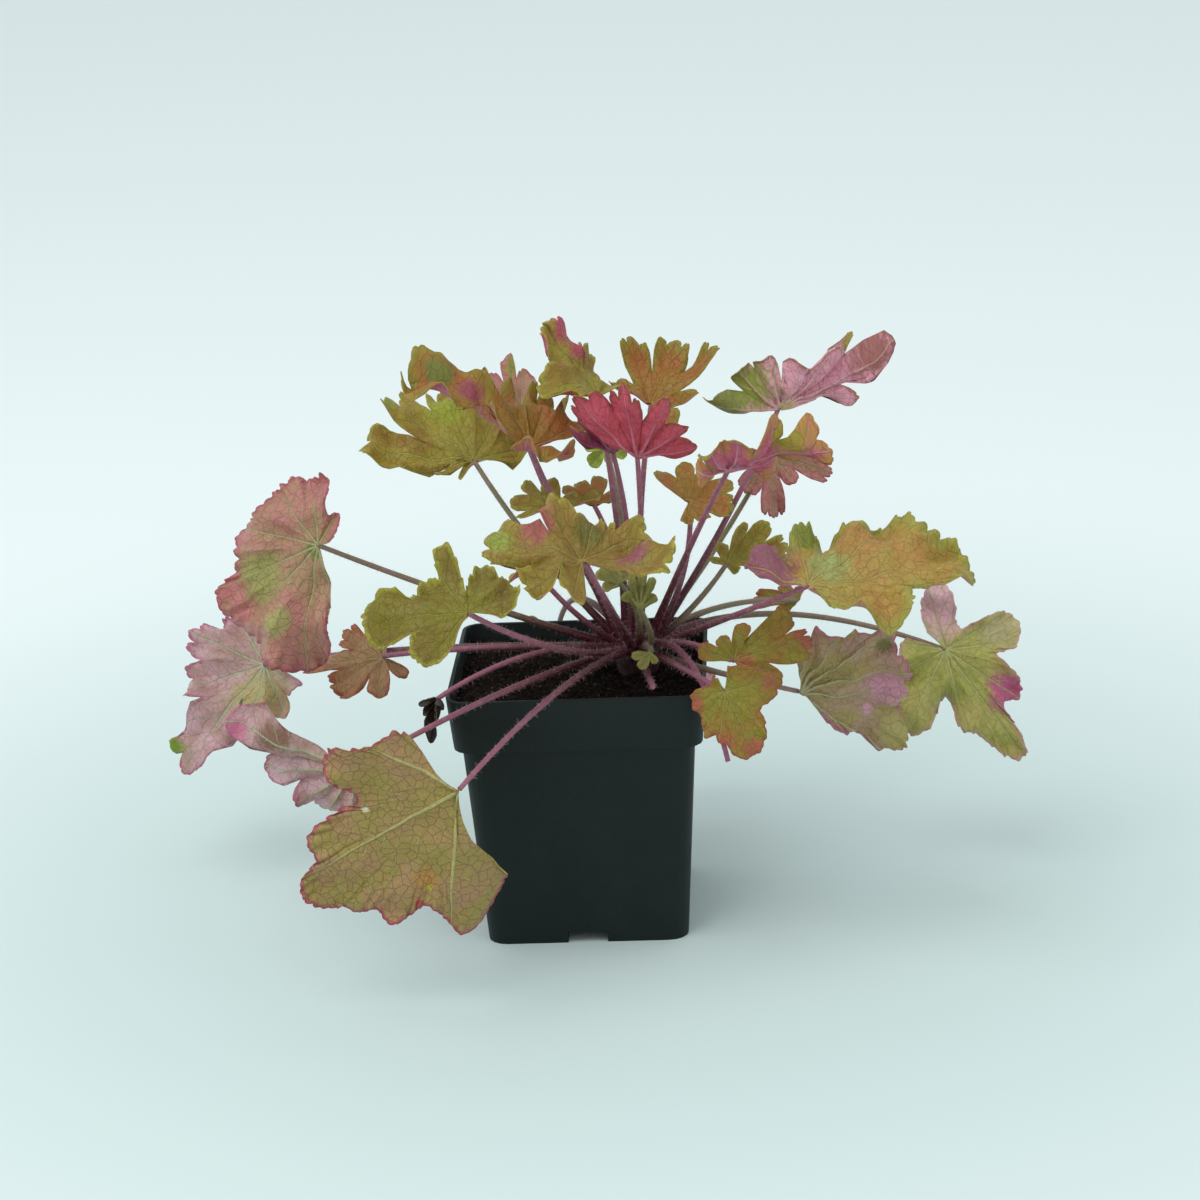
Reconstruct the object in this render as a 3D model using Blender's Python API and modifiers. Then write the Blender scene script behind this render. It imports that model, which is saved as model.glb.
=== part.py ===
# Heuchera plant in a square nursery pot. Metres, +Z up, origin at the pot's bottom centre.
import math

import bmesh
import bpy
from mathutils import Matrix, Vector, noise

MM = 0.001

# Pot, a thin-walled square nursery pot
POT_HEIGHT = 94 * MM
POT_BASE = 71 * MM
POT_BODY_TOP = 81.4 * MM
COLLAR_BASE = 86.5 * MM
COLLAR_TOP = 90 * MM
COLLAR_HEIGHT = 18 * MM
POT_WALL = 1.3 * MM
CORNER_RADIUS = 7 * MM
CHANNEL_WIDTH = 14 * MM
CHANNEL_HEIGHT = 4 * MM
CHANNEL_LENGTH = 18 * MM
DRAIN_RADIUS = 2.5 * MM

# Soil, filled nearly to the rim
SOIL_TOP = 87 * MM
SOIL_LUMP = 2.2 * MM
SOIL_LUMP_PITCH = 9 * MM
SOIL_CELLS = 17
GAP = 0.3 * MM

# Crown, the short woody stock that every leaf stalk leaves from
CROWN = Vector((20, 8, 0)) * MM
CROWN_RADIUS = 7.5 * MM
CROWN_TAPER = 0.8
CROWN_BOTTOM = 70 * MM
CROWN_TOP = 99 * MM
STALK_START_HEIGHT = 95 * MM
STALK_START_RADIUS = 4.5 * MM
STALK_RADIUS = 1.35 * MM
STALK_TIP_RADIUS = 0.85 * MM
STALK_STEPS = 6
STALK_STEPS_STUB = 4
ROUND_SEGMENTS = 16
SMALL_SEGMENTS = 12
SAME_PLACE = 0.01 * MM

# Leaf blades, shared proportions
BLADE_THICKNESS = 0.7 * MM
TOOTH_DEPTH = 0.05
TOOTH_PITCH = 15
NOTCH_SPREAD = 40
SIDE_NOTCH = 1.2
CORNER_CUT = 0.25
RUFFLE_WAVES = 7
FRILL_PITCH = 11 * MM
FRILL_SWING = 2.4
FRILL_RISE = 2.2
SEED_STEP = 7.3 * MM
LOBE_STEP = 1.37
LEAF_STEP = 2.11

# Colours, linear RGB
SLATE = (0.018, 0.021, 0.027)
EARTH = (0.03, 0.018, 0.012)
WINE = (0.16, 0.04, 0.06)
ROSE = (0.40, 0.12, 0.13)
MAUVE = (0.42, 0.22, 0.24)
CORAL = (0.55, 0.10, 0.12)
MAROON = (0.20, 0.03, 0.05)
TAN = (0.32, 0.20, 0.12)
OLIVE = (0.24, 0.20, 0.04)
GOLD = (0.42, 0.26, 0.04)
LIME = (0.42, 0.42, 0.08)
BROWN = (0.26, 0.13, 0.05)
DRIED = (0.07, 0.05, 0.04)


def leaf(name, colour, hinge, along, face, via, lobes, rim=(), cup=0, fold=0, ruffle=0.04, width=20,
         sinus=0.24, blunt=4, frill=0.1, toss=14, wedge=0, rings=2):
    """One leaf; hinge and via in mm, along and face the ways its midrib and upper side look.

    Its stalk runs from the crown through via to the hinge. A lobe is its angle from the midrib in degrees,
    its length in mm, how far it curls towards the upper side in degrees and, where it isn't sinus, the share
    of its length that the notch after it takes. A rim gives the tips and notches of an edge one by one
    instead, each as its angle and its distance from the hinge. Toss turns each lobe up or down by a few
    degrees of its own, and wedge draws the blade together near its hinge.
    """
    return dict(name=name, colour=colour, hinge=Vector(hinge) * MM, along=Vector(along), face=Vector(face),
                via=Vector(via) * MM, lobes=lobes, rim=rim, cup=cup, fold=fold, ruffle=ruffle, width=width,
                sinus=sinus, blunt=blunt, frill=frill, toss=toss, wedge=wedge, rings=rings)


LEAVES = [
    leaf("front_left", TAN, (-36, -100, 83), (-0.83, 0.11, -0.54), (0.1, 0.99, 0.05), (-8, -58, 99),
         ((-66, 47, -20), (-3, 68, 0), (49, 60, 12), (74, 44, 45)), rim=((-86, 28), (-78, 33), (-66, 33),
         (-60, 43), (-50, 48), (-36, 42), (-25, 33), (-22, 45), (-14, 58), (-6, 54), (-3, 66), (4, 70),
         (11, 66), (13, 61), (18, 62), (21, 55), (29, 59), (35, 51), (38, 45), (46, 50), (54, 60),
         (64, 51), (74, 44)), ruffle=0.015, width=15, sinus=0.12, blunt=3, frill=0.03, toss=0, wedge=0.35,
         rings=4),
    leaf("left_low", MAUVE, (-74, -72, 81), (-0.9, 0, 0.05), (0.15, 0.95, 0.2), (-25, -47, 98),
         ((-20, 46, 10), (3, 31, 0), (35, 24, 0), (60, 25, 0), (88, 20, 0)), ruffle=0.02, width=10,
         sinus=0.1, frill=0.09, toss=8),
    leaf("left_high", ROSE, (-86, -34, 149), (-0.92, 0.1, -0.37), (-0.23, -0.92, 0.32), (-37, -10, 120),
         ((-80, 33, -6), (-58, 45, -8), (-24, 43, -10), (0, 41, -10), (33, 35, -10), (70, 27, -10),
         (104, 25, -5), (140, 12, 10)), rim=((-82, 20), (-76, 34), (-66, 42), (-53, 47), (-38, 45),
         (-30, 42), (-18, 45), (0, 43), (7, 35), (14, 31), (22, 35), (32, 37), (42, 29), (50, 26),
         (62, 28), (84, 28), (96, 24), (110, 26), (124, 21), (129, 12), (136, 11), (148, 15), (166, 13),
         (190, 6)), cup=-3, width=15, sinus=0.13, blunt=3.5, frill=0.11, toss=4, rings=3),
    leaf("left_back", MAUVE, (-120, 46, 80), (-0.69, -0.35, -0.63), (-0.24, -0.71, 0.66), (-46, 8, 97),
         ((-92, 17, -30), (-62, 21, -20), (-34, 28, -10), (0, 51, -10), (37, 33, 0), (72, 32, 10),
         (105, 31, 20)), ruffle=0.05, sinus=0.12, blunt=3),
    leaf("front_green", OLIVE, (-31, -86, 139.8), (-1, -0.03, -0.02), (0, -0.45, 0.89), (-18, -66, 125),
         ((-57, 24, -12), (-2, 35, -8), (60, 25, 0), (105, 28, -14), (150, 20, -18)), rim=((-74, 13),
         (-68, 23), (-55, 27), (-38, 26), (-28, 20), (-25, 19), (-22, 28), (-14, 34), (0, 36), (13, 35),
         (20, 30), (24, 21), (30, 22), (41, 24), (52, 23), (56, 17), (59, 20), (64, 27), (76, 26),
         (83, 15), (86, 8), (89, 17), (98, 25), (110, 24), (122, 21), (134, 21), (148, 19), (156, 18),
         (176, 19), (200, 12)), cup=2, ruffle=0.05, sinus=0.3, frill=0.09, toss=4, rings=3),
    leaf("left_small", BROWN, (-71, 8, 94), (-0.95, -0.27, -0.15), (0, -0.49, 0.87), (-46, -4, 100),
         ((-117, 12, -15), (-65, 15, -20), (-12, 22, -15), (12, 31, -5), (55, 19, 10), (100, 14, 10)),
         ruffle=0.05),
    leaf("back_left", OLIVE, (-37, 38, 158), (-0.95, 0.26, 0.22), (0, -0.49, 0.87), (-25, 26, 142),
         ((-70, 8, 0), (-38, 15, 0), (-10, 43, 0, 0.42), (18, 42, 10), (50, 38, 10), (90, 32, 5),
         (133, 24, 0)), ruffle=0.05, sinus=0.26, frill=0.12, toss=8),
    leaf("left_top", BROWN, (-14, 4, 171), (-0.95, 0.1, 0.3), (0.2, -0.1, 1), (-7, 6, 151),
         ((-140, 22, 0), (-90, 22, 0), (-45, 25, 5), (-4, 53, -22), (40, 32, 0), (88, 30, 0),
         (138, 23, 0)), cup=28, sinus=0.22, toss=5),
    leaf("back_top", ROSE, (-22, 70, 162), (-0.23, 0.78, 0.58), (0, -0.6, 0.8), (-8, 50, 131),
         ((-40, 17, 0), (-13, 27, 0), (3, 32, 0), (15, 25, 0), (55, 16, 0)), cup=10),
    leaf("top_left", OLIVE, (10, 16, 186), (-0.6, 0.1, 0.72), (0.6, -0.1, 0.6), (14, 12, 149),
         ((-100, 24, -10), (-50, 27, -30), (0, 32, 0), (45, 22, 10), (90, 12, 0)), fold=15, sinus=0.22,
         frill=0.14),
    leaf("top_right", GOLD, (28, 26, 180), (0.85, 0.49, 0.19), (0, -0.37, 0.93), (23, 20, 142),
         ((-117, 18, 0), (-75, 25, 20), (-38, 28, 10), (0, 31, 0), (38, 18, -5), (81, 14, -15)), cup=15,
         ruffle=0.06, sinus=0.28, frill=0.13),
    leaf("centre_pink", CORAL, (24, -16, 172), (-0.17, -0.65, 0.74), (0, 0.76, 0.65), (24, -8, 147),
         ((-100, 21, 0), (-66, 22, 0), (-34, 27, 0), (-4, 33, 5), (24, 36, 0)), cup=10, width=18,
         sinus=0.3, blunt=1.8, frill=0.06, toss=8, rings=3),
    leaf("centre_dark", MAROON, (15, -2, 170.3), (-0.18, -0.74, 0.64), (0, 0.65, 0.76), (18, 4, 147),
         ((-52, 15, 0), (-25, 22, 0), (-4, 28, 0), (13, 27, 0), (34, 20, 0)), cup=10, width=16, sinus=0.3,
         blunt=1.5),
    leaf("right_top", ROSE, (73, 18, 179), (0.92, 0.1, 0.38), (-0.1, 0.85, 0.5), (57, 12, 147),
         ((-28, 17, -10), (-13, 28, 0, 0.08), (2, 47, 0, 0.14), (17, 37, 10), (33, 33, 0),
         (52, 26, -30, 0.3), (80, 20, 10), (115, 20, 25), (150, 27, 30)), width=14, sinus=0.2, toss=10,
         rings=3),
    leaf("right_middle", MAUVE, (55, -34, 171), (0.89, -0.21, 0.41), (-0.2, 0.64, 0.74), (45, -16, 147),
         ((-38, 20, -10), (-6, 37, -5), (22, 27, -15), (52, 22, -35), (84, 20, -35), (130, 12, -20)),
         cup=5, ruffle=0.06, width=18, sinus=0.14, frill=0.15, rings=3),
    leaf("right_back", ROSE, (70, 62, 150), (0.03, -0.37, -0.93), (0.09, -0.92, 0.37), (57, 66, 127),
         ((-105, 13, 0), (-72, 25, -10), (-36, 14, 0), (0, 24, 0), (37, 17, 0), (90, 12, 0)), cup=-5,
         width=18),
    leaf("centre_right", BROWN, (41, 2, 150), (0.99, 0.1, 0.06), (0, -0.51, 0.86), (40, 4, 134),
         ((-125, 17, 10), (-90, 17, 15), (-55, 15, 10), (-20, 17, 5), (20, 16, -5), (65, 11, -15),
         (105, 10, -10)), cup=5, ruffle=0.06),
    leaf("centre_left", OLIVE, (-7, 10, 147), (-0.94, 0.3, 0.17), (0, -0.49, 0.87), (4, 12, 123),
         ((-30, 14, -10), (-2, 17, 0), (32, 18, 10), (52, 14, 10), (121, 10, 5), (148, 17, 0)), cup=5),
    leaf("centre_back", BROWN, (6, 30, 142), (-0.29, 0.77, 0.57), (0, -0.6, 0.8), (14, 22, 123),
         ((-44, 13, 0), (-10, 13, 0), (25, 14, 0), (70, 9, 0)), cup=5),
    leaf("centre_front", GOLD, (6, -62, 149), (-0.93, 0.35, 0.14), (0, -0.37, 0.93), (10, -40, 132),
         ((-104, 20, -35), (-64, 25, -25, 0.12), (-28, 26, -15, 0.2), (5, 38, -15, 0.35), (42, 26, 0, 0.2),
         (82, 24, 12, 0.2), (122, 26, 20, 0.25), (172, 33, 10)), cup=6, ruffle=0.06, width=14, sinus=0.18,
         blunt=5, frill=0.15, toss=8, rings=3),
    leaf("right_front", GOLD, (81, -62, 138), (0.99, 0.13, 0.07), (0, -0.51, 0.86), (58, -34, 120),
         ((-148, 24, 0), (-88, 30, 5), (-60, 31, 0), (-32, 48, 0), (-2, 57, -6), (30, 37, -10),
         (60, 15, -10)), rim=((-160, 16), (-152, 23), (-142, 25), (-128, 21), (-116, 17), (-104, 18),
         (-98, 23), (-88, 27), (-76, 27), (-68, 23), (-62, 25), (-56, 30), (-48, 34), (-44, 33), (-40, 40),
         (-32, 45), (-24, 44), (-20, 47), (-14, 54), (-4, 58), (4, 56), (8, 48), (10, 36), (13, 34),
         (19, 36), (28, 37), (37, 33), (42, 26), (46, 20), (54, 15), (64, 10), (76, 5)), ruffle=0.05,
         blunt=3.5, frill=0.09, toss=4, rings=3),
    leaf("right_low", OLIVE, (55, -46, 107), (0.98, 0.09, 0.2), (-0.05, -0.8, 0.6), (40, -24, 106),
         ((-148, 13, 0), (-104, 10, 0), (-61, 14, 0), (-27, 26, 0), (-2, 28, -10), (39, 18, -15)),
         rings=3),
    leaf("right_lowest", ROSE, (52, -62, 101), (0.36, -0.23, -0.91), (0, -0.97, 0.24), (40, -40, 101),
         ((-132, 12, 0), (-84, 18, -5), (-40, 15, -5), (-4, 24, 0), (30, 18, -5), (62, 16, -10),
         (108, 14, 0), (150, 8, 0)), rim=((-153, 9), (-108, 13), (-88, 18), (-61, 18), (-44, 12),
         (-26, 19), (-4, 25), (15, 23), (19, 18), (30, 18), (38, 15), (46, 18), (62, 12), (95, 13),
         (123, 10), (130, 6), (175, 6)), toss=8, rings=3),
    leaf("right_pink", MAUVE, (77, -21, 86), (0.91, 0.02, 0.41), (-0.2, 0.9, 0.4), (47, -24, 96),
         ((-70, 50, 0), (-33, 41, 0), (-8, 40, 0), (14, 41, 0), (40, 30, -5), (62, 23, -10)),
         rim=((-76, 13), (-73, 32), (-70, 47), (-61, 52), (-50, 42), (-36, 41), (-22, 37), (-8, 41),
         (0, 37), (14, 43), (20, 31), (36, 32), (60, 23), (72, 21)), ruffle=0.03, width=16, sinus=0.08,
         frill=0.06, toss=5, wedge=0.3, rings=3),
    leaf("right_far", LIME, (131, 30, 83), (0.57, -0.16, -0.81), (0, -0.98, 0.2), (57, 38, 96),
         ((-160, 25, 0), (-84, 25, 0), (-60, 29, 0), (-20, 34, 10), (0, 50, 0), (22, 32, 0), (62, 36, 0),
         (95, 20, 0), (135, 16, 0)), rim=((-188, 10), (-162, 25), (-144, 26), (-132, 17), (-124, 11),
         (-104, 9), (-95, 18), (-88, 25), (-72, 30), (-55, 26), (-50, 17), (-36, 28), (-19, 34), (-9, 27),
         (-6, 42), (0, 50), (8, 45), (15, 33), (27, 31), (28, 21), (38, 19), (46, 30), (60, 37), (75, 31),
         (93, 20), (123, 18), (143, 15)), width=22, sinus=0.2, frill=0.12, toss=10),
    leaf("right_small", LIME, (78, 66, 92), (-0.99, 0.09, 0.08), (0, -0.66, 0.75), (57, 50, 97),
         ((-40, 9, 0), (0, 17, 0), (50, 10, 0), (95, 8, 0)), width=22),
    leaf("right_olive", OLIVE, (53, 16, 123), (0.92, 0.29, 0.25), (0, -0.66, 0.75), (43, 12, 111),
         ((-143, 6, 0), (-74, 9, 0), (-44, 16, 0), (-19, 21, 5), (1, 24, 0), (74, 6, -10))),
    leaf("young_upright", LIME, (23, -26, 120), (0.02, -0.1, 0.99), (0, 1, 0.1), (26, -14, 105),
         ((-47, 8, -30), (-21, 14, -10), (-6, 17, 0), (12, 14, -10), (31, 10, -30)), ruffle=0.03,
         width=22),
    leaf("young_low", LIME, (26, -22, 103), (-0.73, -0.48, -0.48), (0, -0.71, 0.71), (25, -10, 101),
         ((-67, 5, 0), (-20, 8, 0), (25, 7, 0)), ruffle=0.02, width=25),
    leaf("left_mauve", MAROON, (-12, -4, 126), (-0.72, -0.46, 0.53), (0, 0.76, 0.65), (-1, 0, 111),
         ((-37, 17, 0), (-13, 21, 0), (3, 22, 0), (24, 9, 0)), ruffle=0.02, width=22),
    leaf("centre_lime", LIME, (10, 56, 156), (-0.82, -0.3, -0.48), (0, -0.85, 0.53), (15, 44, 133),
         ((-125, 8, 0), (-73, 6, 0), (-13, 9, 0), (45, 8, 0)), ruffle=0.05, width=25),
    leaf("dry_left", DRIED, (-48, -42, 94.5), (-0.1, 0, -1), (-0.3, -0.9, 0.1), (-22, -24, 102),
         ((-70, 5, 40), (-30, 8, 60), (3, 16, 20), (34, 7, 50), (75, 6, 30)), ruffle=0.08, width=16,
         sinus=0.5, blunt=2, frill=0.12, toss=20),
    leaf("back_low", OLIVE, (-14, 78, 70), (-0.12, 0.45, -0.88), (0, 0.88, 0.45), (-2, 46, 102),
         ((-135, 17, 0), (-88, 23, 5), (-43, 28, -5), (0, 34, -10), (40, 29, -5), (84, 24, 5),
         (130, 18, 0)), cup=8, ruffle=0.05),
    leaf("back_lowest", ROSE, (25, 90, 61), (0.1, 0.5, -0.86), (0, 0.86, 0.5), (16, 46, 103),
         ((-130, 16, 0), (-84, 20, 5), (-42, 25, -10), (0, 30, -15), (45, 25, -10), (88, 21, 5),
         (133, 17, 0)), cup=10, ruffle=0.05),
    leaf("centre_small", LIME, (16, -14, 126), (-0.98, -0.17, -0.13), (0, -0.6, 0.8), (21, -6, 113),
         ((-20, 7, 0), (35, 9, 0), (90, 10, 0), (140, 11, 0)), ruffle=0.05, width=25),
]

# Stalks that have lost their blade, each through two points in mm
STUBS = [
    ((24, -16, 93.5), (27, -44, 97.5)),
    ((42, -40, 101), (52, -56, 74)),
]


def valleys(spec):
    """Distance from the hinge to the notch before each lobe and after the last one, in mm."""
    lobes = spec["lobes"]
    made = [lobes[0][1] * (1 - SIDE_NOTCH * spec["sinus"])]
    for low, high in zip(lobes, lobes[1:]):
        share = low[3] if len(low) > 3 else spec["sinus"] * min(1, (high[0] - low[0]) / NOTCH_SPREAD)
        made.append(min(low[1], high[1]) * (1 - share))
    return made + [lobes[-1][1] * (1 - SIDE_NOTCH * spec["sinus"])]


def rim_spots(spec):
    """Angle and reach along an edge given point by point, its corners cut once so that it runs round."""
    rim = [Vector(point) for point in spec["rim"]]
    made = [rim[0]]
    for low, high in zip(rim, rim[1:]):
        made += [low.lerp(high, CORNER_CUT), high.lerp(low, CORNER_CUT)]
    made.append(rim[-1])
    return [(point.x, point.y * MM) for point in made]


def edge_spots(spec):
    """Angle and reach of the edge at every tooth and every notch, from its first side to its last."""
    if spec["rim"]:
        return rim_spots(spec)
    places = [lobe[0] for lobe in spec["lobes"]]
    between = [(low + high) / 2 for low, high in zip(places, places[1:])]
    bounds = [places[0] - spec["width"]] + between + [places[-1] + spec["width"]]
    notches = valleys(spec)
    spots = []
    for number, (place, length, *_) in enumerate(spec["lobes"]):
        low, high = bounds[number], bounds[number + 1]
        teeth = 2 * round((high - low) / TOOTH_PITCH / 2 - 0.5) + 1
        for count in range(2 * teeth):
            step = count / teeth - 1
            angle = place + (place - low if step < 0 else high - place) * step
            notch = notches[number] if step < 0 else notches[number + 1]
            reach = notch + (length - notch) * (1 - abs(step) ** spec["blunt"])
            depth = math.cos(math.pi * teeth * step)
            spots.append((angle, reach * (1 + TOOTH_DEPTH * depth) * MM))
    spots.append((bounds[-1], notches[-1] * (1 - TOOTH_DEPTH) * MM))
    return spots


def curls(spec):
    """Curl of every lobe in degrees, with its own turn up or down added."""
    made = []
    for number, lobe in enumerate(spec["lobes"]):
        spot = Vector((number * LOBE_STEP, spec["seed"] * LEAF_STEP, 0.5))
        made.append(lobe[2] + spec["toss"] * 2 * noise.noise(spot))
    return made


def curl_at(spec, angle):
    """Curl of the blade at this angle, in degrees, eased from one lobe to the next."""
    lobes, eased = spec["lobes"], spec["curls"]
    for number, (low, high) in enumerate(zip(lobes, lobes[1:])):
        if angle < high[0]:
            share = min(max((angle - low[0]) / (high[0] - low[0]), 0), 1)
            ease = share * share * (3 - 2 * share)
            return eased[number] * (1 - ease) + eased[number + 1] * ease
    return eased[-1]


def blade_frame(spec):
    """Matrix from the blade's own axes, X across, Y along the midrib and Z out of its upper side."""
    along = spec["along"].normalized()
    across = along.cross(spec["face"]).normalized()
    face = across.cross(along)
    frame = Matrix((across, along, face)).transposed().to_4x4()
    frame.translation = spec["hinge"]
    return frame


def blade_point(spec, angle, reach, share):
    """Point of the blade's middle surface, in its own axes, this share of the way out to its edge."""
    size = max(lobe[1] for lobe in spec["lobes"]) * MM
    turn = math.radians(angle)
    run = share * reach
    spot = Vector((run * math.sin(turn), run * math.cos(turn), spec["seed"] * SEED_STEP)) / FRILL_PITCH
    frill = FRILL_SWING * spec["frill"] * size * share ** FRILL_RISE * noise.noise(spot)
    bend = math.radians(curl_at(spec, angle)) * share
    slope = math.radians(spec["cup"]) + bend / 2
    chord = run * (math.sin(bend / 2) / (bend / 2) if abs(bend) > 1e-6 else 1)
    flat = chord * math.cos(slope)
    wave = size * spec["ruffle"] * share * share * math.sin(RUFFLE_WAVES * turn)
    lift = chord * math.sin(slope) + frill + wave
    fold = math.radians(spec["fold"])
    x = flat * math.sin(turn)
    side = math.copysign(1, x)
    return Vector((x * math.cos(fold) - side * lift * math.sin(fold), flat * math.cos(turn),
                   abs(x) * math.sin(fold) + lift * math.cos(fold)))


def material(name, colour, roughness=0.55):
    """Principled material in one plain colour."""
    made = bpy.data.materials.new(name)
    made.use_nodes = True
    shader = made.node_tree.nodes["Principled BSDF"]
    shader.inputs["Base Color"].default_value = (*colour, 1)
    shader.inputs["Roughness"].default_value = roughness
    shader.inputs["Metallic"].default_value = 0
    return made


def new_object(name, mesh, collection, colour=None, roughness=0.55):
    """Object for a mesh, put in a collection and given its material."""
    made = bpy.data.objects.new(name, mesh)
    collection.objects.link(made)
    if colour is not None:
        mesh.materials.clear()
        mesh.materials.append(material(name, colour, roughness))
    return made


def mesh_from(name, work):
    """Mesh data from a bmesh, which is freed."""
    mesh = bpy.data.meshes.new(name)
    work.to_mesh(mesh)
    work.free()
    return mesh


def boolean(target, other, operation):
    """Cut or join target with one cutter, live on the target."""
    modifier = target.modifiers.new(other.name, "BOOLEAN")
    modifier.operation = operation
    modifier.object = other
    modifier.solver = "EXACT"


def bake(target):
    """Replace the object's mesh by its evaluated one and drop its modifiers."""
    bpy.context.view_layer.update()
    evaluated = target.evaluated_get(bpy.context.evaluated_depsgraph_get())
    target.data = bpy.data.meshes.new_from_object(evaluated)
    target.modifiers.clear()


def square_frustum(name, bottom, top, width_low, width_high, corner):
    """Closed tapered block with rounded upright corners, between two heights."""
    work = bmesh.new()
    bmesh.ops.create_cone(work, cap_ends=True, segments=4, radius1=width_low / math.sqrt(2),
                          radius2=width_high / math.sqrt(2), depth=top - bottom)
    bmesh.ops.rotate(work, verts=work.verts, matrix=Matrix.Rotation(math.pi / 4, 3, "Z"))
    bmesh.ops.translate(work, verts=work.verts, vec=(0, 0, (top + bottom) / 2))
    upright = [edge for edge in work.edges if abs(edge.verts[0].co.z - edge.verts[1].co.z) > GAP]
    bmesh.ops.bevel(work, geom=upright, offset=corner, segments=4, profile=0.5, affect="EDGES")
    return mesh_from(name, work)


def block(name, low, high):
    """Closed box between two corners."""
    work = bmesh.new()
    bmesh.ops.create_cube(work, size=1)
    low, high = Vector(low), Vector(high)
    bmesh.ops.scale(work, verts=work.verts, vec=high - low)
    bmesh.ops.translate(work, verts=work.verts, vec=(low + high) / 2)
    return mesh_from(name, work)


def pot_inside(name, cutters, inset):
    """Space inside the pot, drawn in from its walls by inset."""
    step = POT_HEIGHT - COLLAR_HEIGHT
    slim = 2 * (POT_WALL + inset)
    lower = new_object(name, square_frustum(name, POT_WALL + inset, step + 2 * POT_WALL, POT_BASE - slim,
                                            POT_BODY_TOP - slim, CORNER_RADIUS - POT_WALL), cutters)
    upper = new_object(name + "_collar", square_frustum(name, step + POT_WALL + inset, POT_HEIGHT + POT_WALL,
                                                        COLLAR_BASE - slim, COLLAR_TOP - slim,
                                                        CORNER_RADIUS - POT_WALL), cutters)
    boolean(lower, upper, "UNION")
    bake(lower)
    return lower


def channel_blocks(name, cutters, grow, start):
    """Four boxes along the drain channels under the pot, wider and higher by grow, from start outwards."""
    made = []
    half = CHANNEL_WIDTH / 2 + grow
    inner = POT_BASE / 2 - CHANNEL_LENGTH - grow
    outer = POT_BASE / 2 + POT_WALL
    roof = CHANNEL_HEIGHT + grow
    for number in range(4):
        mesh = block(name, (inner, -half, start), (outer, half, roof))
        box = new_object(f"{name}_{number}", mesh, cutters)
        box.data.transform(Matrix.Rotation(number * math.pi / 2, 4, "Z"))
        made.append(box)
    return made


def make_pot(parts, cutters):
    """Thin square pot with a collar, and a drain channel and hole under each side."""
    step = POT_HEIGHT - COLLAR_HEIGHT
    pot = new_object("pot", square_frustum("pot", 0, step, POT_BASE, POT_BODY_TOP, CORNER_RADIUS), parts,
                     SLATE, 0.5)
    collar = new_object("pot_collar", square_frustum("pot_collar", step - POT_WALL, POT_HEIGHT, COLLAR_BASE,
                                                     COLLAR_TOP, CORNER_RADIUS), cutters)
    boolean(pot, collar, "UNION")
    boolean(pot, pot_inside("pot_hollow", cutters, 0), "DIFFERENCE")
    roofs = channel_blocks("channel_roof", cutters, POT_WALL, POT_WALL / 2)
    outside = new_object("pot_outside", square_frustum("pot_outside", 0, step, POT_BASE - POT_WALL,
                                                       POT_BODY_TOP - POT_WALL, CORNER_RADIUS), cutters)
    for roof in roofs:
        boolean(roof, outside, "INTERSECT")
        bake(roof)
        boolean(pot, roof, "UNION")
    for channel in channel_blocks("channel", cutters, 0, -POT_WALL):
        boolean(pot, channel, "DIFFERENCE")
    for number in range(4):
        work = bmesh.new()
        bmesh.ops.create_cone(work, cap_ends=True, segments=SMALL_SEGMENTS, radius1=DRAIN_RADIUS,
                              radius2=DRAIN_RADIUS, depth=CHANNEL_HEIGHT * 2)
        reach = POT_BASE / 2 - CHANNEL_LENGTH / 2
        bmesh.ops.translate(work, verts=work.verts, vec=(reach, 0, CHANNEL_HEIGHT + POT_WALL))
        bmesh.ops.rotate(work, verts=work.verts, matrix=Matrix.Rotation(number * math.pi / 2, 3, "Z"))
        boolean(pot, new_object(f"drain_{number}", mesh_from("drain", work), cutters), "DIFFERENCE")
    bake(pot)


def make_soil(parts, cutters):
    """Soil that fills the pot, lumpy on top, with a plain hole for the crown."""
    soil = pot_inside("soil", cutters, GAP)
    cutters.objects.unlink(soil)
    parts.objects.link(soil)
    soil.name = "soil"
    work = bmesh.new()
    bmesh.ops.create_grid(work, x_segments=SOIL_CELLS, y_segments=SOIL_CELLS, size=COLLAR_TOP / 2)
    for vert in work.verts:
        spot = vert.co / SOIL_LUMP_PITCH
        vert.co.z = SOIL_TOP + SOIL_LUMP * noise.noise(spot)
    bmesh.ops.triangulate(work, faces=work.faces[:])
    lid = bmesh.ops.extrude_face_region(work, geom=work.faces[:], use_keep_orig=True)
    for item in lid["geom"]:
        if isinstance(item, bmesh.types.BMVert):
            item.co.z = POT_HEIGHT * 2
    bmesh.ops.recalc_face_normals(work, faces=work.faces)
    boolean(soil, new_object("soil_above", mesh_from("soil_above", work), cutters), "DIFFERENCE")
    work = bmesh.new()
    depth = POT_HEIGHT * 2 - CROWN_BOTTOM + GAP
    bmesh.ops.create_cone(work, cap_ends=True, segments=ROUND_SEGMENTS, radius1=CROWN_RADIUS + GAP,
                          radius2=CROWN_RADIUS + GAP, depth=depth)
    middle = CROWN + Vector((0, 0, CROWN_BOTTOM - GAP + depth / 2))
    bmesh.ops.translate(work, verts=work.verts, vec=middle)
    boolean(soil, new_object("crown_hole", mesh_from("crown_hole", work), cutters), "DIFFERENCE")
    for room in channel_blocks("channel_room", cutters, POT_WALL + GAP, 0):
        boolean(soil, room, "DIFFERENCE")
    bake(soil)
    soil.data.materials.append(material("soil", EARTH, 0.95))


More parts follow.
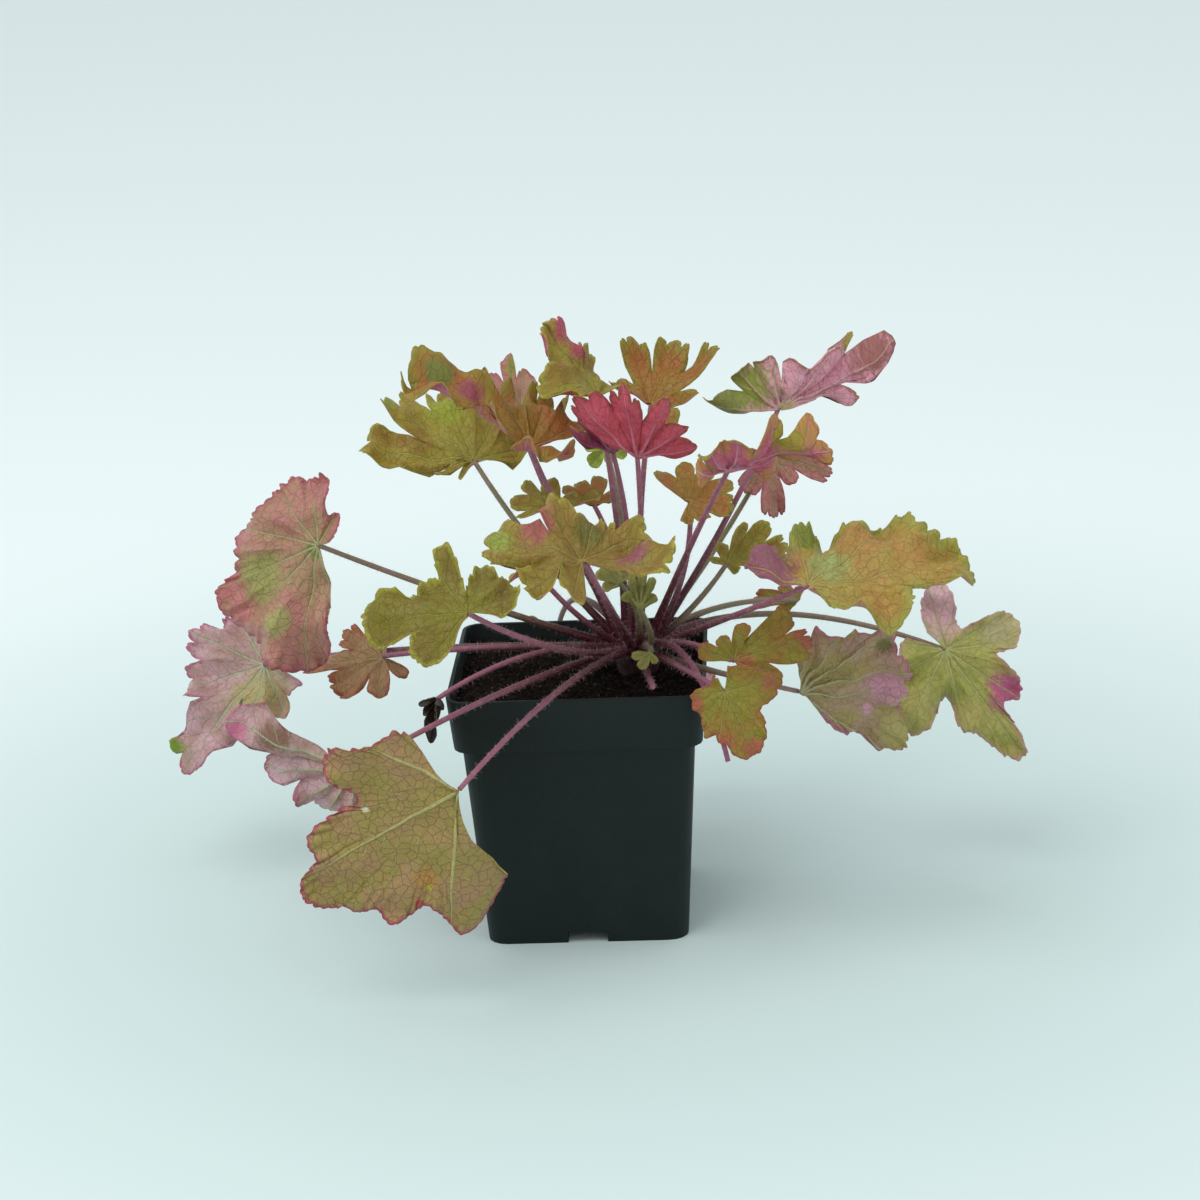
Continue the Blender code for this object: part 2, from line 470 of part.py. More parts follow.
def route(points, steps):
    """Points of the one smooth curve that passes start, via and end."""
    start, via, end = points
    middle = (via - start).length / ((via - start).length + (end - via).length)
    made = []
    for number in range(steps + 1):
        t = number / steps
        near = (t - middle) * (t - 1) / middle
        mid = t * (t - 1) / (middle * (middle - 1))
        far = t * (t - middle) / (1 - middle)
        made.append(start * near + via * mid + end * far)
    return made


def stalk_start(towards):
    """Point inside the crown that a stalk leaves from, on the side it leans to."""
    lean = Vector((towards.x - CROWN.x, towards.y - CROWN.y, 0)).normalized()
    return CROWN + lean * STALK_START_RADIUS + Vector((0, 0, STALK_START_HEIGHT))


def stalk_end(spec):
    """Centre of the stalk's tip, so that its rim lies GAP off the blade, on the side that it comes from."""
    face = blade_frame(spec).to_3x3().col[2]
    run = (spec["hinge"] - spec["via"]).normalized()
    lean = math.sqrt(max(0, 1 - run.dot(face) ** 2))
    side = math.copysign(1, run.dot(face))
    return spec["hinge"] - face * side * (BLADE_THICKNESS / 2 + GAP + STALK_TIP_RADIUS * lean)


def tube(name, points, radius_low, radius_high, collection):
    """Closed tapered tube along the points."""
    curve = bpy.data.curves.new(name, "CURVE")
    curve.dimensions = "3D"
    curve.bevel_depth = 1
    curve.bevel_resolution = 1
    curve.use_fill_caps = True
    spline = curve.splines.new("POLY")
    spline.points.add(len(points) - 1)
    for number, (point, place) in enumerate(zip(spline.points, points)):
        point.co = (*place, 1)
        share = number / (len(points) - 1)
        point.radius = radius_low + (radius_high - radius_low) * share
    drawn = bpy.data.objects.new(name, curve)
    collection.objects.link(drawn)
    bpy.context.view_layer.update()
    evaluated = drawn.evaluated_get(bpy.context.evaluated_depsgraph_get())
    mesh = bpy.data.meshes.new_from_object(evaluated)
    bpy.data.objects.remove(drawn)
    work = bmesh.new()
    work.from_mesh(mesh)
    bmesh.ops.remove_doubles(work, verts=work.verts, dist=SAME_PLACE)
    bmesh.ops.recalc_face_normals(work, faces=work.faces)
    return new_object(name, mesh_from(name, work), collection)


def make_crown(parts):
    """Crown with every leaf stalk grown out of it, joined to one solid."""
    stalks = bpy.data.collections.new("stalks")
    bpy.context.scene.collection.children.link(stalks)
    for spec in LEAVES:
        points = route((stalk_start(spec["via"]), spec["via"], stalk_end(spec)), STALK_STEPS)
        tube("stalk_" + spec["name"], points, STALK_RADIUS, STALK_TIP_RADIUS, stalks)
    for number, (via, end) in enumerate(STUBS):
        via, end = Vector(via) * MM, Vector(end) * MM
        points = route((stalk_start(via), via, end), STALK_STEPS_STUB)
        tube(f"stub_{number}", points, STALK_RADIUS, STALK_TIP_RADIUS, stalks)
    work = bmesh.new()
    bmesh.ops.create_cone(work, cap_ends=True, segments=SMALL_SEGMENTS, radius1=CROWN_RADIUS,
                          radius2=CROWN_RADIUS * CROWN_TAPER, depth=CROWN_TOP - CROWN_BOTTOM)
    bmesh.ops.translate(work, verts=work.verts, vec=CROWN + Vector((0, 0, (CROWN_TOP + CROWN_BOTTOM) / 2)))
    crown = new_object("crown_with_stalks", mesh_from("crown", work), parts)
    join = crown.modifiers.new("stalks", "BOOLEAN")
    join.operation = "UNION"
    join.operand_type = "COLLECTION"
    join.collection = stalks
    join.solver = "EXACT"
    bake(crown)
    crown.data.materials.clear()
    crown.data.materials.append(material("crown_with_stalks", WINE))
    for stalk in list(stalks.objects):
        bpy.data.objects.remove(stalk)
    bpy.data.collections.remove(stalks)


def make_blade(spec, parts):
    """Lobed, toothed and waved blade, a grid bent round the hinge and given its thickness."""
    spots = edge_spots(spec)
    frame = blade_frame(spec)
    middle = (spots[0][0] + spots[-1][0]) / 2
    work = bmesh.new()
    bmesh.ops.create_grid(work, x_segments=len(spots) - 1, y_segments=spec["rings"], size=1)
    for vert in work.verts:
        angle, reach = spots[round((vert.co.x + 1) / 2 * (len(spots) - 1))]
        share = (vert.co.y + 1) / 2
        angle = middle + (angle - middle) * (1 - spec["wedge"] * (1 - share) ** 2)
        vert.co = frame @ blade_point(spec, angle, reach, share)
    bmesh.ops.remove_doubles(work, verts=work.verts, dist=SAME_PLACE)
    bmesh.ops.triangulate(work, faces=work.faces)
    name = "blade_" + spec["name"]
    blade = new_object(name, mesh_from(name, work), parts, spec["colour"])
    wall = blade.modifiers.new("thickness", "SOLIDIFY")
    wall.thickness = BLADE_THICKNESS
    wall.offset = 0
    bake(blade)


def main():
    """Clear the scene and make every part."""
    for old in list(bpy.data.objects):
        bpy.data.objects.remove(old)
    parts = bpy.data.collections.new("heuchera_plant")
    cutters = bpy.data.collections.new("cutters")
    for collection in (parts, cutters):
        bpy.context.scene.collection.children.link(collection)
    for seed, spec in enumerate(LEAVES):
        spec["seed"] = seed
        spec["curls"] = curls(spec)
    make_pot(parts, cutters)
    make_soil(parts, cutters)
    make_crown(parts)
    for spec in LEAVES:
        make_blade(spec, parts)
    for cutter in cutters.objects:
        cutter.hide_render = True
        cutter.display_type = "WIRE"


main()
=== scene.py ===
# Dresses the heuchera in its pot: leaves, haired stalks, crumbly soil and the pot. Sizes in mm, unless said.
import math

import bmesh
import bpy
import numpy as np
from mathutils import Matrix, Vector, noise


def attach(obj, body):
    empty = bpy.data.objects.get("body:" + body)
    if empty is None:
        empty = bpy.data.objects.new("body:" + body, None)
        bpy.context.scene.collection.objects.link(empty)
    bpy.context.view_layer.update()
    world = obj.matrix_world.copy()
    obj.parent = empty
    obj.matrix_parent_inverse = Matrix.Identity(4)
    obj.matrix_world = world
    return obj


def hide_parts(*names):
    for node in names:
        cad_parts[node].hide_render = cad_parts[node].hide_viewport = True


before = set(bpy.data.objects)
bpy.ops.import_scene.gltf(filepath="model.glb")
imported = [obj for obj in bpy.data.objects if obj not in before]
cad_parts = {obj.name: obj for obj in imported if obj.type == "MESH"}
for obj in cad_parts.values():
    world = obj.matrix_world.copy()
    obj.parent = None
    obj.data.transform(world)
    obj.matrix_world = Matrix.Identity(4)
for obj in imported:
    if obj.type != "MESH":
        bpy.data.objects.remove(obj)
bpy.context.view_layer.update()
mm = 0.001
sameSpot = 0.00001  # m, points nearer than this become one


# Helpers for node trees

def feed(tree, made, values):  # a socket is linked to its input, anything else is set on it
    for key, value in values.items():
        if isinstance(value, bpy.types.NodeSocket):
            tree.links.new(value, made.inputs[key])
        else:
            made.inputs[key].default_value = value


def node(tree, kind, values=None, **settings):
    made = tree.nodes.new(kind)
    for key, value in settings.items():
        setattr(made, key, value)
    feed(tree, made, values or {})
    return made


def sums(tree, operation, *values):
    return node(tree, "ShaderNodeMath", dict(enumerate(values)), operation=operation).outputs[0]


def times(tree, first, second):
    return sums(tree, "MULTIPLY", first, second)


def plus(tree, first, second):
    return sums(tree, "ADD", first, second)


def less(tree, first, second):
    return sums(tree, "SUBTRACT", first, second)


def vectors(tree, operation, *values, output=0):
    return node(tree, "ShaderNodeVectorMath", dict(enumerate(values)), operation=operation).outputs[output]


def parts(tree, vector):
    return node(tree, "ShaderNodeSeparateXYZ", {0: vector}).outputs


def ramp(tree, value, low, high):  # 0 below low, 1 above high, eased between
    return node(tree, "ShaderNodeMapRange", {"Value": value, "From Min": low, "From Max": high},
                interpolation_type="SMOOTHSTEP").outputs[0]


def fall(tree, value, low, high):  # 1 below low, 0 above high
    return less(tree, 1.0, ramp(tree, value, low, high))


def tint(code):  # linear colour of a screen colour's hex code
    shares = [int(code[i:i + 2], 16) / 255 for i in (0, 2, 4)]
    return (*[p / 12.92 if p < 0.04045 else ((p + 0.055) / 1.055) ** 2.4 for p in shares], 1)


def blend(tree, share, *colours):  # from the first to the second, each a socket or a hex code
    first, second = (tint(item) if isinstance(item, str) else item for item in colours)
    return node(tree, "ShaderNodeMix", {0: share, 6: first, 7: second}, data_type="RGBA").outputs[2]


def grain(tree, where, scale, detail=3, rough=0.55, distortion=0.0):
    values = {"Vector": where, "Scale": scale, "Detail": detail, "Roughness": rough, "Distortion": distortion}
    return node(tree, "ShaderNodeTexNoise", values).outputs["Fac"]


def patches(tree, where, sizes, limits):  # grain eased to clear patches
    return ramp(tree, grain(tree, where, *sizes), *limits)


def attribute(tree, name, output="Fac"):
    return node(tree, "ShaderNodeAttribute", attribute_name=name).outputs[output]


def newMaterial(name):  # with its node tree and the place on the object, in m
    made = bpy.data.materials.new(name)
    made.use_nodes = True
    return made, made.node_tree, node(made.node_tree, "ShaderNodeTexCoord").outputs["Object"]


def finish(made, look, values, height=None):  # what varies over the surface, and the look's plain settings
    tree = made.node_tree
    shader = tree.nodes["Principled BSDF"]
    feed(tree, shader, {**look["shader"], **values})
    if height:
        strength, depth = look["bump"]
        values = {"Height": height, "Strength": strength, "Distance": depth * mm}
        tree.links.new(node(tree, "ShaderNodeBump", values).outputs[0], shader.inputs["Normal"])
    return made


def geometryTree(name, sizes):
    tree = bpy.data.node_groups.new(name, "GeometryNodeTree")
    tree.interface.new_socket("Geometry", in_out="INPUT", socket_type="NodeSocketGeometry")
    for label, (kind, value) in sizes.items():
        socket = tree.interface.new_socket(label, in_out="INPUT", socket_type="NodeSocket" + kind)
        socket.default_value = value
    tree.interface.new_socket("Geometry", in_out="OUTPUT", socket_type="NodeSocketGeometry")
    return tree, node(tree, "NodeGroupInput").outputs


def closeTree(tree, geometry, material):  # every tree ends in real meshes with their material
    real = node(tree, "GeometryNodeRealizeInstances", {0: geometry})
    covered = node(tree, "GeometryNodeSetMaterial", {0: real.outputs[0], "Material": material})
    node(tree, "NodeGroupOutput", {0: covered.outputs[0]})


def randomValue(tree, low, high, seed, kind="FLOAT"):
    first, output = (0, 0) if kind == "FLOAT_VECTOR" else (2, 1)
    made = node(tree, "FunctionNodeRandomValue", {first: low, first + 1: high, 8: seed}, data_type=kind)
    return made.outputs[output]


# Helpers for meshes

def newObject(name, mesh, material=None):
    made = bpy.data.objects.new(name, mesh)
    bpy.context.scene.collection.objects.link(made)
    if material:
        mesh.materials.clear()
        mesh.materials.append(material)
    return made


def applied(source):  # the object's mesh with its modifiers carried out
    bpy.context.view_layer.update()
    evaluated = source.evaluated_get(bpy.context.evaluated_depsgraph_get())
    mesh = bpy.data.meshes.new_from_object(evaluated)
    source.modifiers.clear()
    return mesh


def grown(source, tree, values):  # mesh that the tree makes from the source object
    modifier = source.modifiers.new(tree.name, "NODES")
    modifier.node_group = tree
    for item in tree.interface.items_tree:
        if item.in_out == "INPUT" and item.name in values:
            modifier[item.identifier] = values[item.name]
    return applied(source)


def addValues(mesh, name, values, kind="FLOAT"):
    data = mesh.attributes.new(name, kind, "POINT").data
    data.foreach_set("vector" if kind == "FLOAT_VECTOR" else "value", np.ravel(values).astype(np.float32))


# Pot. In each look a noise is its scale per m, detail, roughness and distortion, a range is where something
# starts and ends, shader holds the shader's plain settings, and bump the strength and depth of the bumps.

potLook = dict(edgeRound=0.45, roundSteps=3, roundAngle=35, cleanAngle=1,
               slate="0f1a19", dusty="182422", soiled="1b1814", dust=0.6, dirt=0.5,
               clouds=(38, 5, 0.6), cloudRange=(0.42, 0.72), smears=(90, 6, 0.7, 0.6), smearRange=(0.5, 0.75),
               smearHeight=(0.05, 0.1), fine=(2600, 2), bump=(0.25, 0.2), roughness=(0.5, 0.14),
               shader={"Specular IOR Level": 0.25})


def potMaterial(look):
    made, tree, where = newMaterial("slate_plastic")
    clouds = patches(tree, where, look["clouds"], look["cloudRange"])
    smears = times(tree, patches(tree, where, look["smears"], look["smearRange"]),
                   ramp(tree, parts(tree, where)["Z"], *look["smearHeight"]))
    colour = blend(tree, times(tree, clouds, look["dust"]), look["slate"], look["dusty"])
    colour = blend(tree, times(tree, smears, look["dirt"]), colour, look["soiled"])
    plain, dusty = look["roughness"]
    rough = plus(tree, times(tree, clouds, dusty), plain)
    return finish(made, look, {"Base Color": colour, "Roughness": rough}, grain(tree, where, *look["fine"]))


def makePot(look):
    mesh = bpy.data.objects["pot"].data.copy()
    work = bmesh.new()
    work.from_mesh(mesh)
    bmesh.ops.remove_doubles(work, verts=work.verts, dist=sameSpot)
    bmesh.ops.dissolve_limit(work, angle_limit=math.radians(look["cleanAngle"]), verts=work.verts,
                             edges=work.edges)
    work.to_mesh(mesh)
    work.free()
    pot = newObject("nursery_pot", mesh, potMaterial(look))
    edges = pot.modifiers.new("rounded edges", "BEVEL")
    edges.width = look["edgeRound"] * mm
    edges.segments = look["roundSteps"]
    edges.limit_method = "ANGLE"
    edges.angle_limit = math.radians(look["roundAngle"])
    edges.harden_normals = False
    pot.data = applied(pot)
    pot.data.shade_smooth()
    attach(pot, "root")
    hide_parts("pot")
    print("pot", len(pot.data.polygons), "faces")


makePot(potLook)


# Soil

soilLook = dict(top=87, lump=2.2, lumpPitch=9, fine=0.9, finePitch=2.2, cells=150, cornerRadius=5.4,
                insideTop=86.2, walls=((78, 84.5), (75.5, 77.6), (9, 68)),  # each wall's height and width
                crumbs=5200, fibres=420, crumbSize=1.5, seed=4, fibreSeed=7,
                crumbScale=((0.3, 0.3, 0.25), (1.5, 1.2, 0.8)), crumbDents=2.3,
                fibreScale=((0.4, 0.4, 0.4), (1.2, 1.2, 1.3)),
                fibre={"Vertices": 5, "Radius": 0.09, "Depth": 3.2},  # in crumb sizes
                dark="0b0908", brown="1d130d", russet="302015", pale="54463a", russetRange=(0.45, 0.8),
                paleRange=(0.95, 0.99), damp=(260, 5, 0.7), dampRange=(0.35, 0.7), pits=(1500, 3),
                pitRange=(0.5, 0.8), pitShare=0.5, rough=(900, 4, 0.7), bump=(0.7, 0.6),
                shader={"Roughness": 0.95, "Specular IOR Level": 0.2})


def soilMaterial(look):
    made, tree, where = newMaterial("potting_compost")
    tone = attribute(tree, "crumbTone")
    colour = blend(tree, patches(tree, where, look["damp"], look["dampRange"]), look["dark"], look["brown"])
    colour = blend(tree, ramp(tree, tone, *look["russetRange"]), colour, look["russet"])
    colour = blend(tree, ramp(tree, tone, *look["paleRange"]), colour, look["pale"])
    pits = patches(tree, where, look["pits"], look["pitRange"])
    colour = blend(tree, times(tree, pits, look["pitShare"]), colour, look["dark"])
    return finish(made, look, {"Base Color": colour}, grain(tree, where, *look["rough"]))


def soilHeight(look, x, y):  # the CAD's own lumps with a finer crumble on top, in m
    spot = Vector((x, y, 0))
    lumps = look["lump"] * noise.noise(spot / (look["lumpPitch"] * mm))
    crumble = look["fine"] * noise.fractal(spot / (look["finePitch"] * mm), 0.8, 2.0, 3)
    return (look["top"] + lumps + crumble) * mm


def scatter(tree, surface, chosen, density, seed, shape, size, low, high):  # tumbled copies of a shape
    points = node(tree, "GeometryNodeDistributePointsOnFaces",
                  {"Mesh": surface, "Selection": chosen, "Density": density, "Seed": seed}).outputs["Points"]
    turn = randomValue(tree, (-3.1, -3.1, -3.1), (3.1, 3.1, 3.1), seed, "FLOAT_VECTOR")
    spread = randomValue(tree, low, high, seed, "FLOAT_VECTOR")
    sizes = node(tree, "ShaderNodeVectorMath", {0: spread, 3: size}, operation="SCALE").outputs[0]
    copies = node(tree, "GeometryNodeInstanceOnPoints",
                  {"Points": points, "Instance": shape, "Rotation": turn, "Scale": sizes})
    return node(tree, "GeometryNodeStoreNamedAttribute",
                {0: copies.outputs[0], "Name": "crumbTone", 3: randomValue(tree, 0.0, 1.0, seed)},
                data_type="FLOAT", domain="INSTANCE").outputs[0]


def crumbTree(look):
    tree, given = geometryTree("soil crumbs", {"Crumbs": ("Float", 1.0), "Fibres": ("Float", 1.0),
                                               "Crumb size": ("Float", 0.001), "Seed": ("Int", 0)})
    facing = parts(tree, node(tree, "GeometryNodeInputNormal").outputs[0])[2]
    onTop = node(tree, "FunctionNodeCompare", {0: facing, 1: 0.2}, operation="GREATER_THAN").outputs[0]
    ball = node(tree, "GeometryNodeMeshIcoSphere", {"Radius": 0.5, "Subdivisions": 1}).outputs[0]
    dent = node(tree, "ShaderNodeTexNoise", {"Scale": look["crumbDents"]}).outputs["Color"]
    dented = vectors(tree, "SUBTRACT", dent, (0.5, 0.5, 0.5))
    crumb = node(tree, "GeometryNodeSetPosition", {0: ball, "Offset": dented}).outputs[0]
    stick = node(tree, "GeometryNodeMeshCylinder", look["fibre"]).outputs[0]
    soil, size = given["Geometry"], given["Crumb size"]
    crumbs = scatter(tree, soil, onTop, given["Crumbs"], given["Seed"], crumb, size, *look["crumbScale"])
    fibres = scatter(tree, soil, onTop, given["Fibres"], look["fibreSeed"], stick, size, *look["fibreScale"])
    joined = node(tree, "GeometryNodeJoinGeometry")
    for part in (soil, crumbs, fibres):
        tree.links.new(part, joined.inputs[0])
    closeTree(tree, joined.outputs[0], soilMaterial(look))
    return tree


def makeSoil(look):
    half = look["insideTop"] * mm / 2
    radius = look["cornerRadius"] * mm
    inner = half - radius
    work = bmesh.new()
    bmesh.ops.create_grid(work, x_segments=look["cells"], y_segments=look["cells"], size=half)
    for vert in work.verts:
        over = Vector((max(abs(vert.co.x) - inner, 0), max(abs(vert.co.y) - inner, 0)))
        if over.length > radius:
            over = over.normalized() * radius
            vert.co.x = math.copysign(inner + over.x, vert.co.x)
            vert.co.y = math.copysign(inner + over.y, vert.co.y)
        vert.co.z = soilHeight(look, vert.co.x, vert.co.y)
    bmesh.ops.remove_doubles(work, verts=work.verts, dist=sameSpot)
    rim = [edge for edge in work.edges if edge.is_boundary]
    wide = look["insideTop"]
    for height, width in look["walls"]:  # down along the inside of the pot
        skirt = bmesh.ops.extrude_edge_only(work, edges=rim)
        for vert in [item for item in skirt["geom"] if isinstance(item, bmesh.types.BMVert)]:
            vert.co.x *= width / wide
            vert.co.y *= width / wide
            vert.co.z = height * mm
        wide = width
        rim = [edge for edge in work.edges if edge.is_boundary]
    bmesh.ops.contextual_create(work, geom=rim)
    bmesh.ops.recalc_face_normals(work, faces=work.faces)
    mesh = bpy.data.meshes.new("compost")
    work.to_mesh(mesh)
    work.free()
    addValues(mesh, "crumbTone", np.zeros(len(mesh.vertices)))
    made = newObject("compost", mesh)
    area = (2 * half) ** 2
    values = {"Crumbs": look["crumbs"] / area, "Fibres": look["fibres"] / area,
              "Crumb size": look["crumbSize"] * mm, "Seed": look["seed"]}
    made.data = grown(made, crumbTree(look), values)
    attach(made, "root")
    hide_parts("soil")
    print("soil", len(made.data.polygons), "faces")


makeSoil(soilLook)


# Leaves. Angles are in degrees from a leaf's midrib, and lengths go out from its hinge, where the stalk ends.
# Its outline comes from its lobes or, on the leaves that are seen best, from the points of its rim.

leafBuild = dict(thin=0.28, rib=0.9, ribWide=0.7, ringStep=1.7, columnStep=12, columnWide=0.66,
                 toothPitch=9, toothDepth=0.08, toothRound=0.6, fineDepth=0.7, finePitch=2.6, fineRound=0.7,
                 midPitch=5.8, midDepth=1.1, wanderPitch=9, fullSize=30, ruffles=7, quilt=0.45,
                 quiltPitch=6.5, quiltSize=45, quiltRound=0.8, quiltMean=0.6, sideShift=0.45, slant=1.15,
                 crimp=0.8, crimpSize=40, groove=0.4, frillRise=2.4, frillPitch=11, uneven=1.5, lumps=(13, 5))
cornerCut = 0.25


def quiltPitch(spec, build):  # from one side vein to the next
    return build["quiltPitch"] * (0.5 + 0.5 * spec["size"] / build["quiltSize"])


def lobeBounds(spec):
    places = [lobe[0] for lobe in spec["lobes"]]
    between = [(low + high) / 2 for low, high in zip(places, places[1:])]
    return [places[0] - spec["width"]] + between + [places[-1] + spec["width"]]


def valleys(spec):  # length of the blade in the notches beside its lobes
    lobes = spec["lobes"]
    depth = spec["sinus"]
    first, last = (lobes[number][1] * (1 - 1.2 * depth) for number in (0, -1))
    made = [first]
    for low, high in zip(lobes, lobes[1:]):
        notch = low[3] if len(low) > 3 else depth * min(1, (high[0] - low[0]) / 40)
        made.append(min(low[1], high[1]) * (1 - notch))
    return made + [last]


def cutCorners(line):
    low, high = line[:-1], line[1:]
    far = 1 - cornerCut
    between = np.stack((low * far + high * cornerCut, low * cornerCut + high * far), 1).reshape(-1, 2)
    return np.concatenate((line[:1], between, line[-1:]))


def rimOutline(spec, build):  # what outline gives, for a blade with points along its rim
    rim = cutCorners(cutCorners(np.array(spec["rim"], float)))
    turns = np.radians(rim[:, 0])
    steps = np.hypot(np.diff(rim[:, 1] * np.sin(turns)), np.diff(rim[:, 1] * np.cos(turns)))
    passed = np.append(0, np.cumsum(steps))
    spots = np.linspace(0, passed[-1], round(passed[-1] / build["columnWide"]) + 1)
    angles = np.maximum.accumulate(np.interp(spots, passed, rim[:, 0])) + spots * 0.001
    wander = np.array([noise.noise(Vector((spot / build["wanderPitch"], spec["seed"], 0))) for spot in spots])
    large = np.abs(np.cos(np.pi * (spots / build["midPitch"] + wander))) ** build["toothRound"]
    small = np.abs(np.cos(np.pi * spots / build["finePitch"] + 2 * wander)) ** build["fineRound"]
    scale = min(1, spec["size"] / build["fullSize"])
    reach = np.interp(spots, passed, rim[:, 1]) - scale * (build["midDepth"] * (1 - large) * (1 + wander)
                                                           + build["fineDepth"] * (1 - small))
    bounds = np.array(lobeBounds(spec))
    lobes = np.clip(np.searchsorted(bounds, angles) - 1, 0, len(spec["lobes"]) - 1)
    centres = lobeAngles(spec)[lobes]
    sides = np.where(angles < centres, centres - bounds[lobes], bounds[lobes + 1] - centres)
    across = np.clip((angles - centres) / sides, -1, 1)
    crimp = np.cos(2 * np.pi * (spots / build["midPitch"] + wander))
    return np.stack((angles, reach, lobes, crimp, pleat(across)), -1)


def pleat(across):  # a lobe's sides stand up and its middle lies low
    return 1.5 * across ** 2 - 0.5


def lobeAngles(spec):
    return np.array([lobe[0] for lobe in spec["lobes"]], float)


def outline(spec, build):  # angle, reach, lobe, crimp and pleat for each column of the blade
    if "rim" in spec:
        return rimOutline(spec, build)
    bounds = lobeBounds(spec)
    low = valleys(spec)
    rows = []
    swings = [1 + 0.6 * noise.noise(Vector((number * 1.7, spec["seed"] * 3.1, 0)))
              for number in range(len(bounds))]
    for number, (place, length, *_) in enumerate(spec["lobes"]):
        span = bounds[number + 1] - bounds[number]
        pitch = build["toothPitch"] * (0.45 + spec["size"] / 90)
        teeth = 2 * max(0, round(math.radians(span) * length / pitch / 2 - 0.5)) + 1
        steps = teeth * build["columnStep"]
        fine = build["fineDepth"] * min(1, length / 25)
        last = number == len(spec["lobes"]) - 1
        for step in range(steps + last):
            across = 2 * step / steps - 1
            side = place - bounds[number] if across < 0 else bounds[number + 1] - place
            valley = low[number] if across < 0 else low[number + 1]
            reach = valley + (length - valley) * (1 - abs(across) ** spec["blunt"])
            tooth = abs(math.cos(math.pi * teeth * across / 2)) ** build["toothRound"]
            small = abs(math.cos(math.pi * teeth * 3 * across / 2)) ** build["fineRound"]
            reach -= build["toothDepth"] * length * (1 - tooth) + fine * (1 - small)
            swing = swings[number] + (swings[number + 1] - swings[number]) * (across + 1) / 2
            rows.append((place + side * across, reach, number, math.cos(math.pi * teeth * across),
                         swing * pleat(across)))
    return np.array(rows)


def curls(spec, angles):
    places = lobeAngles(spec)
    spots = [Vector((number * 1.37, spec["seed"] * 2.11, 0.5)) for number in range(len(places))]
    amounts = np.array([lobe[2] + spec["toss"] * 2 * noise.noise(spot)
                        for lobe, spot in zip(spec["lobes"], spots)])
    after = np.clip(np.searchsorted(places, angles, side="right"), 1, len(places) - 1)
    share = np.clip((angles - places[after - 1]) / (places[after] - places[after - 1]), 0, 1)
    ease = share * share * (3 - 2 * share)
    return np.radians(amounts[after - 1] * (1 - ease) + amounts[after] * ease)


def bladeFrame(spec):
    along = Vector(spec["along"]).normalized()
    across = along.cross(Vector(spec["face"])).normalized()
    return np.array((across, along, across.cross(along)))


def polar(run, angle):  # across and along, for degrees from the line that it goes along
    turn = np.radians(angle)
    return run * np.sin(turn), run * np.cos(turn)


def relief(spec, build, run, share, angle, lobe, waves):  # height of the upper side, in mm
    side, forth = polar(run, angle - lobeAngles(spec)[lobe])
    size = spec["size"]
    steps = (forth - np.abs(side) * build["slant"]) / quiltPitch(spec, build)
    steps = steps + np.where(side > 0, build["sideShift"], 0)
    quilt = np.abs(np.sin(np.pi * steps)) ** build["quiltRound"] - build["quiltMean"]
    quilt = quilt * np.clip(np.abs(side) / 2.5, 0, 1) * np.clip(run / 8, 0, 1)
    high = build["quilt"] * quilt * (1 - 0.5 * share)
    high -= build["groove"] * np.exp(-(side / 1.0) ** 2) * (1 - 0.7 * share)
    high += build["crimp"] * share ** 5 * waves[0] * min(1, size / build["crimpSize"])
    high += spec["pleat"] * size * share ** 1.6 * waves[1]
    across, along = polar(run, angle)
    places = [Vector((x, y, spec["seed"] * 7.3)) for x, y in zip(across.ravel(), along.ravel())]
    wide = [noise.noise(place / build["frillPitch"]) for place in places]
    large, small = build["lumps"]
    lumps = [noise.noise(place / large) + 0.4 * noise.noise(place / small) for place in places]
    high += build["frillRise"] * spec["frill"] * size * share ** 2.2 * np.reshape(wide, run.shape)
    return high + build["uneven"] * spec["lumpy"] * np.reshape(lumps, run.shape) * np.clip(run / 10, 0, 1)


def bladePlaces(spec, build, angle, reach, share, lobe, waves):  # points of the upper side, in m
    turn = np.radians(angle)
    run = share * reach
    bend = curls(spec, angle) * share
    slope = math.radians(spec["cup"]) + bend / 2
    chord = run * np.sinc(bend / 2 / math.pi)
    flat = chord * np.cos(slope)
    ruffle = spec["size"] * spec["ruffle"] * share ** 2 * np.sin(build["ruffles"] * turn)
    lift = chord * np.sin(slope) + ruffle + relief(spec, build, run, share, angle, lobe, waves)
    fold = math.radians(spec["fold"])
    x = flat * np.sin(turn)
    side = np.where(x < 0, -1, 1)
    local = np.stack((x * math.cos(fold) - side * lift * math.sin(fold), flat * np.cos(turn),
                      np.abs(x) * math.sin(fold) + lift * math.cos(fold)), -1)
    return local @ bladeFrame(spec) * mm + np.array(spec["hinge"]) * mm


